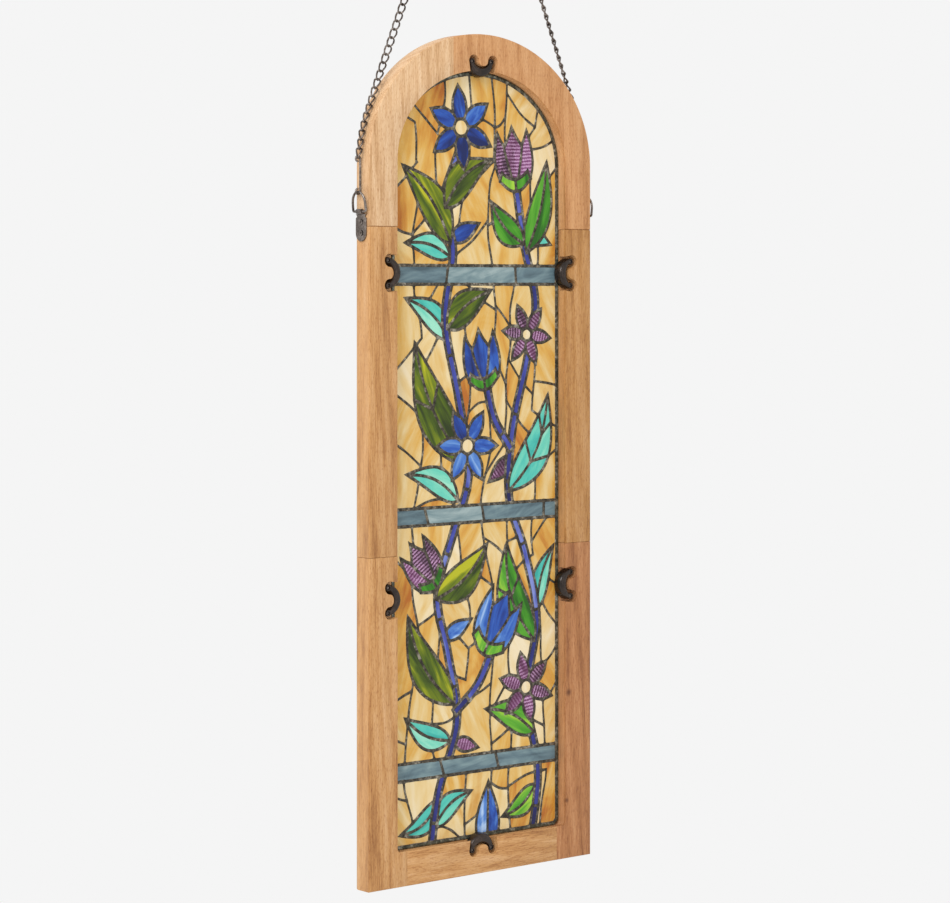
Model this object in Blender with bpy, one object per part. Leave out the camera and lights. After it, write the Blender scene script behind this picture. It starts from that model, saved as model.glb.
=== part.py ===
"""An arched stained glass panel in a wooden frame, hung by two chains from one ring.

Metres, +Z up, the front faces -Y. The origin is where the ring bears on its hook.
Inside the script heights are measured from the frame's bottom edge, and the empty
frame_bottom carries every piece down to its place below the ring.
"""

import math

import bmesh
import bpy
from mathutils import Matrix, Vector
from mathutils.geometry import delaunay_2d_cdt

GAP = 0.0003

# Wooden frame
FRAME_WIDTH = 0.340
FRAME_HEIGHT = 0.986
FRAME_THICKNESS = 0.028
ARCH_RISE = 0.152
STILE_FACE = 0.041
CROWN_FACE = 0.043
RAIL_FACE = 0.039
LEDGE = 0.014
HEAD_BELOW_SPRING = 0.076
STILE_JOINT = 0.380
CORNER_RADIUS = 0.006
BACK_EASING = 0.005
FRONT_EASING = 0.0015
ARC_STEPS = 20

# Leaded panel, dropped in from the front
PANEL_DEPTH = 0.012
PANEL_THICKNESS = 0.0047
PANEL_CLEARANCE = 0.001
CORNER_CLIP = 0.7
GLASS_THICKNESS = 0.003
LEAD_WIDTH = 0.0032
CAME_FACE = 0.0045
SMALLEST_GLASS = 0.0004
LEAST_BEND = 0.0002
MITRE_LIMIT = 2.5

# Drawing of the panel, stretched to the panel's own size
DRAWING_WIDTH = 0.256
DRAWING_HEIGHT = 0.902
VINE_WIDTH = 0.0095
BAR_HEIGHTS = {"bar_low": (0.078, 0.098), "bar_middle": (0.372, 0.392), "bar_top": (0.652, 0.674)}
GLASS_COLOURS = {
    "ground": "amber", "spray_left": "olive", "spray_right": "green",
    "bar_low": "slate", "bar_middle": "slate", "bar_top": "slate", "leaf_right": "turquoise",
    "lily_low_right": "purple", "lily_middle": "blue", "lily_crown_left": "blue", "lily_right": "purple",
    "tulip_low_left": "blue", "tulip_left": "purple", "tulip_middle": "blue", "tulip_crown_right": "purple",
}

# Crescent clips that hold the panel, each in a routed pocket
CLIP_REACH = 0.0075
CLIP_RADIUS = 0.0184
CLIP_WAIST = 0.012
CLIP_HORN = 0.0078
CLIP_HEIGHT = 0.011
HORN_HEIGHT = 0.0092
HORN_ANGLE = math.radians(85)
POCKET_ROOM = 0.0036
POCKET_TAPER = 0.003
TONGUE_ROOM = 0.001
UPPER_CLIP_DROP = 0.053
LOWER_CLIP_DROP = 0.050

# Hangers on the frame's edges
PLATE_WIDTH = 0.019
PLATE_LENGTH = 0.031
PLATE_THICKNESS = 0.0013
PLATE_DROP = 0.017
TONGUE_WIDTH = 0.009
SCREW_HEAD = 0.0062
SCREW_SHANK = 0.003
SCREW_LENGTH = 0.014
SCREW_HEAD_HEIGHT = 0.0014
SCREW_SPACING = 0.0125
D_RING_WIRE = 0.0028
D_RING_WIDTH = 0.026
D_RING_HEIGHT = 0.0255
D_RING_LEAN = math.radians(6)

# Hooks, chains and the ring
HOOK_WIRE = 0.0024
HOOK_EYE = 0.0092
HOOK_LENGTH = 0.046
CHAIN_WIRE = 0.002
CHAIN_PITCH = 0.0106
CHAIN_WIDTH = 0.0094
CHAIN_LINKS = 44
CHAIN_GRIP = 0.0036
LINK_BITE = 0.0007
LINK_MITRE = 0.8
LINK_TWIST = math.radians(45)
FREE_ROLL = math.radians(45)
RING_WIRE = 0.003
RING_DIAMETER = 0.026
RING_SPREAD = math.radians(30)

FRONT = -FRAME_THICKNESS / 2
SPRING = FRAME_HEIGHT - ARCH_RISE
HEAD_JOINT = SPRING - HEAD_BELOW_SPRING
PLATE_FOOT = HEAD_JOINT - PLATE_DROP
OPENING_HALF = FRAME_WIDTH / 2 - STILE_FACE
OPENING_RISE = ARCH_RISE - CROWN_FACE
PANEL_FRONT = FRONT + PANEL_DEPTH
LEDGE_FRONT = PANEL_FRONT + PANEL_THICKNESS + GAP


def clear_scene():
    for thing in list(bpy.data.objects):
        bpy.data.objects.remove(thing, do_unlink=True)


def collection(name):
    made = bpy.data.collections.new(name)
    bpy.context.scene.collection.children.link(made)
    return made


def material(name, colour, roughness, metallic=0.0):
    made = bpy.data.materials.new(name)
    made.use_nodes = True
    shader = made.node_tree.nodes["Principled BSDF"]
    shader.inputs["Base Color"].default_value = (*colour, 1)
    shader.inputs["Roughness"].default_value = roughness
    shader.inputs["Metallic"].default_value = metallic
    return made


clear_scene()
PARTS = collection("stained_glass_window")
CUTTERS = collection("cutters")
ROOT = bpy.data.objects.new("frame_bottom", None)
PARTS.objects.link(ROOT)

WOOD = material("oiled_wood", (0.62, 0.40, 0.20), 0.55)
CLIP_BLACK = material("dark_clip", (0.035, 0.026, 0.022), 0.35)
STEEL = material("gunmetal_steel", (0.11, 0.10, 0.10), 0.38, 0.9)
SOLDER = material("dark_solder", (0.12, 0.12, 0.11), 0.42, 0.8)
GLASS = {
    "amber": material("amber_glass", (0.80, 0.52, 0.20), 0.12),
    "slate": material("slate_glass", (0.20, 0.27, 0.33), 0.12),
    "blue": material("blue_glass", (0.06, 0.13, 0.50), 0.12),
    "purple": material("purple_glass", (0.22, 0.06, 0.22), 0.18),
    "olive": material("olive_glass", (0.16, 0.22, 0.02), 0.12),
    "green": material("green_glass", (0.14, 0.36, 0.05), 0.12),
    "turquoise": material("turquoise_glass", (0.15, 0.62, 0.52), 0.12),
}


def keep(name, mesh, finish):
    """The mesh as a named piece, carried by the empty at the frame's bottom."""
    mesh.name = name
    mesh.materials.clear()
    mesh.materials.append(finish)
    piece = bpy.data.objects.new(name, mesh)
    PARTS.objects.link(piece)
    piece.parent = ROOT
    return piece


def cutter(name, mesh):
    tool = bpy.data.objects.new(name, mesh)
    CUTTERS.objects.link(tool)
    tool.parent = ROOT
    tool.hide_render = True
    tool.display_type = "WIRE"
    return tool


def boolean(piece, operation, tool):
    modifier = piece.modifiers.new(tool.name, "BOOLEAN")
    modifier.operation = operation
    modifier.solver = "EXACT"
    modifier.object = tool


def mesh_of(guide):
    """The curve object made a mesh with welded caps, and the curve removed."""
    PARTS.objects.link(guide)
    bpy.context.view_layer.update()
    graph = bpy.context.evaluated_depsgraph_get()
    mesh = bpy.data.meshes.new_from_object(guide.evaluated_get(graph))
    mesh.transform(guide.matrix_world)
    data = guide.data
    bpy.data.objects.remove(guide, do_unlink=True)
    bpy.data.curves.remove(data)
    body = bmesh.new()
    body.from_mesh(mesh)
    bmesh.ops.remove_doubles(body, verts=body.verts, dist=1e-6)
    bmesh.ops.recalc_face_normals(body, faces=body.faces)
    body.to_mesh(mesh)
    body.free()
    return mesh


def drawn_curve(name, loops, cyclic=True):
    curve = bpy.data.curves.new(name, "CURVE")
    for loop in loops:
        spline = curve.splines.new("POLY")
        spline.points.add(len(loop) - 1)
        for point, place in zip(spline.points, loop):
            point.co = (*place, 0, 1) if len(place) == 2 else (*place, 1)
        spline.use_cyclic_u = cyclic
    return curve


def flat_mesh(name, loops, thickness, matrix):
    """A sheet cut to the loops of its own XY plane, as thick to either side of it."""
    curve = drawn_curve(name, loops)
    curve.dimensions = "2D"
    curve.fill_mode = "BOTH"
    curve.extrude = thickness / 2
    guide = bpy.data.objects.new(name, curve)
    guide.matrix_world = matrix
    return mesh_of(guide)


def front_sheet(name, loops, front, thickness):
    """A sheet seen from the front: loops of (x, height), its front face at y = front."""
    upright = Matrix.Rotation(math.pi / 2, 4, "X")
    return flat_mesh(name, loops, thickness, Matrix.Translation((0, front + thickness / 2, 0)) @ upright)


def side_sheet(name, loops, middle, thickness):
    """A sheet seen from the side: loops of (y, height), its middle at x = middle."""
    sideways = Matrix(((0, 0, 1, middle), (1, 0, 0, 0), (0, 1, 0, 0), (0, 0, 0, 1)))
    return flat_mesh(name, loops, thickness, sideways)


def wire_mesh(name, path, diameter, resolution=1, cyclic=False):
    """Round wire along the path of (x, y, height) points."""
    curve = drawn_curve(name, [path], cyclic)
    curve.dimensions = "3D"
    curve.bevel_depth = diameter / 2
    curve.bevel_resolution = resolution
    curve.use_fill_caps = not cyclic
    return mesh_of(bpy.data.objects.new(name, curve))


def rod_mesh(length, radius, sides=8):
    """A rod along X, centred on the origin."""
    body = bmesh.new()
    bmesh.ops.create_cone(body, cap_ends=True, segments=sides, radius1=radius, radius2=radius, depth=length,
                          matrix=Matrix.Rotation(math.pi / 2, 4, "Y"))
    mesh = bpy.data.meshes.new("rod")
    body.to_mesh(mesh)
    body.free()
    return mesh


def mirrored(mesh):
    """A copy of the mesh for the other side of the window."""
    copy = mesh.copy()
    copy.transform(Matrix.Scale(-1, 4, (1, 0, 0)))
    copy.flip_normals()
    return copy


def arc(half_width, rise, steps):
    """The arch from its right springing over the crown to the left one, ends included."""
    turns = [math.pi * k / steps for k in range(steps + 1)]
    return [Vector((half_width * math.cos(t), SPRING + rise * math.sin(t))) for t in turns]


def arched(half_width, rise, bottom, clipped, steps=ARC_STEPS):
    """A closed outline with an arched top and a flat bottom, its two corners clipped."""
    inner = half_width - clipped
    foot = [(-half_width, bottom + clipped), (-inner, bottom)]
    foot += [(inner, bottom), (half_width, bottom + clipped)]
    return [Vector(p) for p in foot] + arc(half_width, rise, steps)


def rounded_opening():
    """The routed rebate's outline, its two lower corners as round as the cutter."""
    outline = []
    turns = [math.radians(30 * k) for k in range(4)]
    for side, start in ((-1, math.pi), (1, 1.5 * math.pi)):
        centre = Vector((side * (OPENING_HALF - CORNER_RADIUS), RAIL_FACE + CORNER_RADIUS))
        outline += [centre + CORNER_RADIUS * Vector((math.cos(start + t), math.sin(start + t)))
                    for t in turns]
    return outline + arc(OPENING_HALF, OPENING_RISE, ARC_STEPS)


def eased(mesh, on_edge, front, back):
    """The mesh with the long outer arrises, where on_edge holds, taken off."""
    body = bmesh.new()
    body.from_mesh(mesh)
    bmesh.ops.dissolve_limit(body, angle_limit=math.radians(0.5), verts=body.verts, edges=body.edges)
    for depth, offset in ((FRONT, front), (-FRONT, back)):
        arrises = [
            e for e in body.edges
            if all(abs(v.co.y - depth) < 1e-5 and on_edge(v.co) for v in e.verts)
        ]
        bmesh.ops.bevel(body, geom=arrises, offset=offset, segments=1, affect="EDGES", profile=0.5)
    bmesh.ops.recalc_face_normals(body, faces=body.faces)
    body.to_mesh(mesh)
    body.free()
    return mesh


def on_outer_edge(point):
    if point.z < SPRING:
        return abs(abs(point.x) - FRAME_WIDTH / 2) < 1e-5
    share = (point.x / (FRAME_WIDTH / 2)) ** 2 + ((point.z - SPRING) / ARCH_RISE) ** 2
    return abs(share - 1) < 1e-4


def on_underside(point):
    return point.z < 1e-5


def frame_boards():
    outer = FRAME_WIDTH / 2
    inner = OPENING_HALF - LEDGE
    half_gap = GAP / 2
    foot = HEAD_JOINT + half_gap
    head = (
        [Vector((outer, foot))] + arc(outer, ARCH_RISE, ARC_STEPS + 4) + [Vector((-outer, foot))]
        + [Vector((-inner, foot))] + arc(inner, OPENING_RISE - LEDGE, ARC_STEPS)[::-1]
        + [Vector((inner, foot))]
    )
    mesh = eased(front_sheet("arched_head", [head], FRONT, FRAME_THICKNESS), on_outer_edge,
                 FRONT_EASING, BACK_EASING)
    boards = {"arched_head": keep("arched_head", mesh, WOOD)}
    for side, sign in (("left", -1), ("right", 1)):
        for part, low, high in (("lower", 0, STILE_JOINT - half_gap),
                                ("upper", STILE_JOINT + half_gap, HEAD_JOINT - half_gap)):
            name = f"stile_{side}_{part}"
            outline = [Vector((sign * x, z)) for x, z in
                       ((inner, low), (outer, low), (outer, high), (inner, high))]
            mesh = front_sheet(name, [outline], FRONT, FRAME_THICKNESS)
            boards[name] = keep(name, eased(mesh, on_outer_edge, FRONT_EASING, BACK_EASING), WOOD)
    half = inner - GAP
    outline = [(-half, 0), (half, 0), (half, RAIL_FACE + LEDGE), (-half, RAIL_FACE + LEDGE)]
    mesh = eased(front_sheet("bottom_rail", [outline], FRONT, FRAME_THICKNESS), on_underside,
                 FRONT_EASING, FRONT_EASING)
    boards["bottom_rail"] = keep("bottom_rail", mesh, WOOD)
    reach = 2 * GAP
    rebate = cutter("rebate", front_sheet("rebate", [rounded_opening()], FRONT - reach,
                                          LEDGE_FRONT - FRONT + reach))
    for board in boards.values():
        boolean(board, "DIFFERENCE", rebate)
    return boards


def clip_arcs():
    """The crescent's outer and inner edges at one share of the way from its middle to a horn."""
    outer_centre = CLIP_RADIUS - CLIP_REACH
    horn = Vector((CLIP_RADIUS * math.sin(HORN_ANGLE), outer_centre - CLIP_RADIUS * math.cos(HORN_ANGLE)))
    chord = horn.x - CLIP_HORN
    waist = CLIP_WAIST - CLIP_REACH
    rise = horn.y - waist
    inner_radius = (chord ** 2 + rise ** 2) / (2 * rise)
    inner_angle = math.asin(chord / inner_radius)

    def edges(share):
        t = share * HORN_ANGLE
        u = share * inner_angle
        outer = Vector((CLIP_RADIUS * math.sin(t), outer_centre - CLIP_RADIUS * math.cos(t)))
        inner = Vector((inner_radius * math.sin(u), waist + inner_radius - inner_radius * math.cos(u)))
        return outer, inner

    return edges


def clip_mesh():
    """A half-round crescent lofted from horn to horn, its horns ending round."""
    edges = clip_arcs()
    stations = []
    for k in range(-3, 4):
        share = k / 3
        outer, inner = edges(share)
        height = HORN_HEIGHT + (CLIP_HEIGHT - HORN_HEIGHT) * math.cos(share * math.pi / 2) ** 1.2
        stations.append((outer, inner, height))
    for end, past in ((0, -1), (-1, 1)):
        outer, inner, height = stations[end]
        middle = (outer + inner) / 2
        half = (outer - inner) / 2
        ahead = Vector((-half.y, half.x)) * (1 if past * half.x > 0 else -1)
        ahead = ahead if ahead.y > 0 else -ahead
        for turn in (45, 85):
            t = math.radians(turn)
            shift = middle + ahead * math.sin(t)
            station = (shift + half * math.cos(t), shift - half * math.cos(t), height * math.cos(t * 0.7))
            stations.insert(0 if past < 0 else len(stations), station)
    section = ((0, 0), (0.06, 0.62), (0.28, 0.94), (0.72, 0.94), (0.94, 0.62), (1, 0))
    body = bmesh.new()
    rings = []
    for outer, inner, height in stations:
        ring = []
        for across, up in section:
            place = outer.lerp(inner, across)
            ring.append(body.verts.new((place.x, -up * height, place.y)))
        rings.append(ring)
    count = len(section)
    for a, b in zip(rings, rings[1:]):
        for k in range(count):
            body.faces.new((a[k], a[(k + 1) % count], b[(k + 1) % count], b[k]))
    body.faces.new(rings[0])
    body.faces.new(rings[-1])
    bmesh.ops.recalc_face_normals(body, faces=body.faces)
    mesh = bpy.data.meshes.new("clip")
    body.to_mesh(mesh)
    body.free()
    return mesh


def pocket_mesh():
    """The pocket's cutter: round at the horns, open to the panel, with a tongue of wood left between."""
    outer_centre = CLIP_RADIUS - CLIP_REACH
    end_x = CLIP_RADIUS - CLIP_HORN / 2
    radius = CLIP_HORN / 2 + POCKET_ROOM
    tongue_half = end_x - radius
    tongue_length = outer_centre - (CLIP_WAIST - CLIP_REACH + TONGUE_ROOM)
    outline = []
    for side in (-1, 1):
        turns = [math.pi * k / 5 for k in range(6)]
        outline += [Vector((side * end_x - radius * math.cos(t), outer_centre + radius * math.sin(t)))
                    for t in turns]
        if side < 0:
            turns = [math.pi * k / 6 for k in range(1, 6)]
            outline += [Vector((-tongue_half * math.cos(t), outer_centre - tongue_length * math.sin(t)))
                        for t in turns]
    wide = end_x + radius
    outline += [Vector((wide - POCKET_TAPER, -CLIP_REACH)), Vector((POCKET_TAPER - wide, -CLIP_REACH))]
    reach = 2 * GAP
    return front_sheet("pocket", [outline], FRONT - reach, PANEL_DEPTH + reach)


def clip_places():
    """Each clip's name, its place on the opening's edge, its turn, and the board that holds it."""
    places = [
        ("panel_clip_top", (0, SPRING + OPENING_RISE), 0, "arched_head"),
        ("panel_clip_bottom", (0, RAIL_FACE), math.pi, "bottom_rail"),
    ]
    for side, sign in (("left", -1), ("right", 1)):
        heights = {"upper": HEAD_JOINT - UPPER_CLIP_DROP, "lower": STILE_JOINT - LOWER_CLIP_DROP}
        for part, height in heights.items():
            places.append((f"panel_clip_{side}_{part}", (sign * OPENING_HALF, height),
                           -sign * math.pi / 2, f"stile_{side}_{part}"))
    return places


def clips(boards):
    clip = clip_mesh()
    pocket = pocket_mesh()
    for name, (x, z), turn, board in clip_places():
        place = Matrix.Translation((x, 0, z)) @ Matrix.Rotation(-turn, 4, "Y")
        routed = pocket.copy()
        routed.transform(place)
        boolean(boards[board], "DIFFERENCE", cutter(f"pocket_for_{name}", routed))
        shaped = clip.copy()
        shaped.transform(Matrix.Translation((0, PANEL_FRONT - GAP, 0)) @ place)
        keep(name, shaped, CLIP_BLACK)


def smooth(points, step):
    """A curve through the points, read at every step or so."""
    knots = [Vector(p) for p in points]
    knots = [knots[0] * 2 - knots[1]] + knots + [knots[-1] * 2 - knots[-2]]
    line = [knots[1]]
    for a, b, c, d in zip(knots, knots[1:], knots[2:], knots[3:]):
        count = max(1, round((c - b).length / step))
        for k in range(1, count + 1):
            t = k / count
            line.append(0.5 * (2 * b + (c - a) * t + (2 * a - 5 * b + 4 * c - d) * t ** 2
                               + (3 * b - a - 3 * c + d) * t ** 3))
    return line


def stem(points, width, step=0.05):
    """A vine's outline, as wide as it is all along."""
    line = smooth(points, step)
    sides = ([], [])
    for k, point in enumerate(line):
        run = (line[min(k + 1, len(line) - 1)] - line[max(k - 1, 0)]).normalized()
        across = Vector((run.y, -run.x)) * width / 2
        sides[0].append(point + across)
        sides[1].append(point - across)
    return sides[0] + sides[1][::-1]


def turned(points, centre, angle):
    c, s = math.cos(angle), math.sin(angle)
    return [Vector((p.x * c - p.y * s + centre[0], p.x * s + p.y * c + centre[1])) for p in points]


def leaf(foot, tip, width, bow=0.0, steps=4):
    """A pointed leaf, widest nearer its foot, its middle bowed to its left by a share of its length."""
    foot, tip = Vector(foot), Vector(tip)
    run = tip - foot
    aside = Vector((-run.y, run.x))
    half = aside.normalized() * width / 2
    right, left = [], []
    for k in range(1, steps):
        t = k / steps
        middle = foot + run * t + aside * bow * math.sin(math.pi * t)
        swell = half * math.sin(math.pi * t ** 0.75)
        right.append(middle - swell)
        left.append(middle + swell)
    return [foot] + right + [tip] + left[::-1]


def tulip(centre, angle, size):
    """A cup of three petals, its stalk end down before it is turned."""
    half = ((0.13, -0.50), (0.33, -0.34), (0.42, -0.08), (0.40, 0.22), (0.33, 0.50), (0.19, 0.24))
    right = [Vector(p) * size for p in half]
    left = [Vector((-p.x, p.y)) for p in right[::-1]]
    return turned(right + [Vector((0, size * 0.56))] + left, centre, angle)


def lily(centre, angle, radius, petals=6):
    """A star of pointed petals."""
    points = []
    step = 2 * math.pi / petals
    for k in range(petals):
        for share, reach in ((0, 0.42), (0.29, 0.74), (0.5, 1.0), (0.71, 0.74)):
            t = step * (k + share)
            points.append(Vector((math.cos(t), math.sin(t))) * radius * reach)
    return turned(points, centre, angle)


def drawing():
    """The picture from back to front: (group, outline), in metres from the middle of the panel's foot."""
    left = [(-0.070, -0.01), (-0.058, 0.06), (-0.030, 0.14), (-0.044, 0.22), (-0.060, 0.29), (-0.036, 0.36),
            (-0.012, 0.43), (-0.028, 0.52), (-0.048, 0.61), (-0.036, 0.69), (-0.050, 0.75), (-0.026, 0.81)]
    right = [(0.086, -0.01), (0.096, 0.07), (0.078, 0.16), (0.094, 0.25), (0.076, 0.33), (0.050, 0.40),
             (0.056, 0.48), (0.078, 0.56), (0.092, 0.63), (0.074, 0.70), (0.062, 0.765)]
    twig_left = [(-0.034, 0.150), (0.000, 0.178), (0.022, 0.214)]
    twig_right = [(0.054, 0.455), (0.026, 0.495), (0.012, 0.550)]
    spray_left = [
        stem(left, VINE_WIDTH),
        stem(twig_left, VINE_WIDTH),
        leaf((-0.034, 0.160), (-0.104, 0.268), 0.044, 0.10),
        leaf((-0.062, 0.285), (0.016, 0.345), 0.042, -0.10),
        leaf((-0.016, 0.440), (-0.094, 0.585), 0.052, 0.08),
        leaf((-0.045, 0.600), (0.022, 0.645), 0.038, 0.08),
        leaf((-0.040, 0.700), (-0.112, 0.790), 0.042, -0.08),
        leaf((-0.048, 0.742), (0.022, 0.800), 0.040, 0.12),
    ]
    spray_right = [
        stem(right, VINE_WIDTH),
        stem(twig_right, VINE_WIDTH),
        leaf((0.090, 0.115), (0.014, 0.150), 0.036, -0.10),
        leaf((0.090, 0.225), (0.046, 0.345), 0.046, 0.12),
        leaf((0.078, 0.690), (0.110, 0.800), 0.036, -0.06),
        leaf((0.074, 0.700), (0.022, 0.750), 0.034, 0.10),
    ]
    picture = [("spray_left", outline) for outline in spray_left]
    picture += [("spray_right", outline) for outline in spray_right]
    for name, (low, high) in BAR_HEIGHTS.items():
        wide = DRAWING_WIDTH
        outline = [(-wide, low), (wide, low), (wide, high), (-wide, high)]
        picture.append((name, [Vector(p) for p in outline]))
    picture += [
        ("leaf_right", leaf((0.050, 0.406), (0.112, 0.520), 0.044, -0.12)),
        ("lily_low_right", lily((0.077, 0.170), 0.2, 0.043)),
        ("lily_middle", lily((-0.014, 0.462), 0.5, 0.046)),
        ("lily_crown_left", lily((-0.024, 0.836), 0.1, 0.050)),
        ("lily_right", lily((0.078, 0.592), 0.4, 0.038)),
        ("tulip_low_left", tulip((0.030, 0.250), -0.5, 0.076)),
        ("tulip_left", tulip((-0.080, 0.324), 0.65, 0.062)),
        ("tulip_middle", tulip((0.008, 0.562), 0.15, 0.066)),
        ("tulip_crown_right", tulip((0.058, 0.800), 0.1, 0.070)),
    ]
    return picture


def panel_outline(steps=ARC_STEPS):
    half = OPENING_HALF - PANEL_CLEARANCE
    foot = RAIL_FACE + PANEL_CLEARANCE
    return arched(half, OPENING_RISE - PANEL_CLEARANCE, foot, CORNER_CLIP * CORNER_RADIUS, steps)


def stretched(outline):
    """Points of the drawing laid on the panel."""
    across = 2 * (OPENING_HALF - PANEL_CLEARANCE) / DRAWING_WIDTH
    foot = RAIL_FACE + PANEL_CLEARANCE
    up = (SPRING + OPENING_RISE - PANEL_CLEARANCE - foot) / DRAWING_HEIGHT
    return [Vector((p[0] * across, foot + p[1] * up)) for p in outline]


def area(loop):
    return sum(a.x * b.y - b.x * a.y for a, b in zip(loop, loop[1:] + loop[:1])) / 2


def parted(shapes, tag_of, smallest):
    """The plane parted along every shape's outline: a list of (tag, loops), each first loop the outer one.

    tag_of names what covers a triangle from the shapes it lies in. Areas that are
    smaller than smallest join the neighbour they share the longest side with.
    """
    corners, faces = [], []
    for shape in shapes:
        shape = shape if area(shape) > 0 else shape[::-1]
        faces.append(list(range(len(corners), len(corners) + len(shape))))
        corners += shape
    places, _, triangles, _, _, owners = delaunay_2d_cdt(corners, [], faces, 1, 1e-6, True)
    kept = [(tri, tag_of(own)) for tri, own in zip(triangles, owners) if tag_of(own)]
    sides = {}
    for k, (tri, _) in enumerate(kept):
        for a, b in zip(tri, tri[1:] + tri[:1]):
            sides[(a, b)] = k
    parent = list(range(len(kept)))

    def root(k):
        while parent[k] != k:
            parent[k] = parent[parent[k]]
            k = parent[k]
        return k

    for (a, b), k in sides.items():
        other = sides.get((b, a))
        if other is not None and kept[k][1] == kept[other][1]:
            parent[root(k)] = root(other)
    alone = set()
    while True:
        sizes, shared = {}, {}
        for k, (tri, _) in enumerate(kept):
            sizes[root(k)] = sizes.get(root(k), 0) + area([places[v] for v in tri])
        small = [k for k, size in sizes.items() if size < smallest and k not in alone]
        if not small:
            break
        least = min(small, key=sizes.get)
        for (a, b), k in sides.items():
            other = sides.get((b, a))
            if root(k) == least and other is not None and root(other) != least:
                shared[root(other)] = shared.get(root(other), 0) + (places[a] - places[b]).length
        if shared:
            parent[least] = max(shared, key=shared.get)
        else:
            alone.add(least)
    borders = {}
    for (a, b), k in sides.items():
        other = sides.get((b, a))
        if root(k) not in alone and (other is None or root(other) != root(k)):
            borders.setdefault(root(k), {}).setdefault(a, []).append(b)
    found = []
    for k, steps in borders.items():
        loops = []
        while steps:
            start = min(steps)
            loop, here = [], start
            while not loop or here != start:
                loop.append(places[here])
                onward = steps[here].pop()
                if not steps[here]:
                    del steps[here]
                here = onward
            loops.append(straightened(loop))
        loops.sort(key=area, reverse=True)
        found.append((kept[k][1], loops))
    found.sort(key=lambda item: (item[0], min(p.y for p in item[1][0]), item[1][0][0].x))
    return found


def straightened(loop):
    """The loop without the points that turn no corner."""
    while True:
        bends = []
        for a, b, c in zip(loop[-1:] + loop[:-1], loop, loop[1:] + loop[:1]):
            bends.append(abs((b - a).cross(c - b)) / max((c - a).length, 1e-9))
        least = min(range(len(loop)), key=bends.__getitem__)
        if bends[least] > LEAST_BEND or len(loop) < 4:
            return loop
        loop = loop[:least] + loop[least + 1:]


def glass_areas(panel, picture):
    """The panel parted along every outline of the picture, the foremost shape naming each area."""
    groups = ["ground"] + [group for group, _ in picture]
    shapes = [panel] + [stretched(outline) for _, outline in picture]
    return parted(shapes, lambda own: groups[max(own)] if 0 in own else None, SMALLEST_GLASS)


def bands(loop, widths):
    """For each edge, the strip of its own width along its inner side, mitred to the next ones."""
    count = len(loop)
    runs = [(b - a).normalized() for a, b in zip(loop, loop[1:] + loop[:1])]
    inward = [Vector((-run.y, run.x)) for run in runs]
    mitres = []
    for k in range(count):
        before, after = loop[k] + inward[k - 1] * widths[k - 1], loop[k] + inward[k] * widths[k]
        turn = runs[k - 1].cross(runs[k])
        if abs(turn) < 0.02:
            mitres.append((before + after) / 2)
        else:
            mitre = before + runs[k - 1] * ((after - before).cross(runs[k]) / turn)
            reach = mitre - loop[k]
            longest = MITRE_LIMIT * max(widths[k - 1], widths[k])
            mitres.append(loop[k] + reach * min(1, longest / reach.length) if turn < 0 else mitre)
    strips = []
    for k in range(count):
        a, b = loop[k], loop[(k + 1) % count]
        c, d = mitres[(k + 1) % count], mitres[k]
        strip = [a, b, c, d]
        if (c - d).dot(runs[k]) < 1e-6:
            facing = (d - a).cross(c - b)
            meet = a + (d - a) * ((b - a).cross(c - b) / facing) if abs(facing) > 1e-12 else a
            height = (meet - a).dot(inward[k])
            if 0 < height < 2 * widths[k] and 0 < (meet - a).dot(runs[k]) < (b - a).length:
                strip = [a, b, meet]
            else:
                strip = [a, b, b + inward[k] * widths[k], a + inward[k] * widths[k]]
        strips.append(strip)
    return strips


def inside(loops, border, width, smallest):
    """What is left of an area a width in from its edges, or a came's face in from the border."""
    strips = []
    for loop in loops:
        strips += bands(loop, edge_widths(loop, border, width))
    count = len(loops)

    def tag_of(own):
        return "inside" if 0 in own and len(own) == 1 and own[0] < count else None

    return [parts for _, parts in parted(loops + strips, tag_of, smallest)]


def edge_widths(loop, panel, width):
    """Half a lead line on each edge, and the border came where the edge lies on the panel's outline."""
    sides = list(zip(panel, panel[1:] + panel[:1]))
    widths = []
    for a, b in zip(loop, loop[1:] + loop[:1]):
        middle = (a + b) / 2
        on_border = any(
            abs((q - p).normalized().cross(middle - p)) < 1e-5
            and -1e-5 < (middle - p).dot((q - p).normalized()) < (q - p).length + 1e-5
            for p, q in sides
        )
        widths.append(CAME_FACE if on_border else width)
    return widths


def united(first, second):
    """One mesh of the two, welded where they overlap."""
    pieces = [bpy.data.objects.new(mesh.name, mesh) for mesh in (first, second)]
    for piece in pieces:
        PARTS.objects.link(piece)
    boolean(pieces[0], "UNION", pieces[1])
    graph = bpy.context.evaluated_depsgraph_get()
    mesh = bpy.data.meshes.new_from_object(pieces[0].evaluated_get(graph))
    for piece in pieces:
        bpy.data.objects.remove(piece, do_unlink=True)
    return mesh


def joined(name, meshes):
    """One mesh that holds them all."""
    body = bmesh.new()
    for mesh in meshes:
        body.from_mesh(mesh)
    whole = bpy.data.meshes.new(name)
    body.to_mesh(whole)
    body.free()
    return whole


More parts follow.
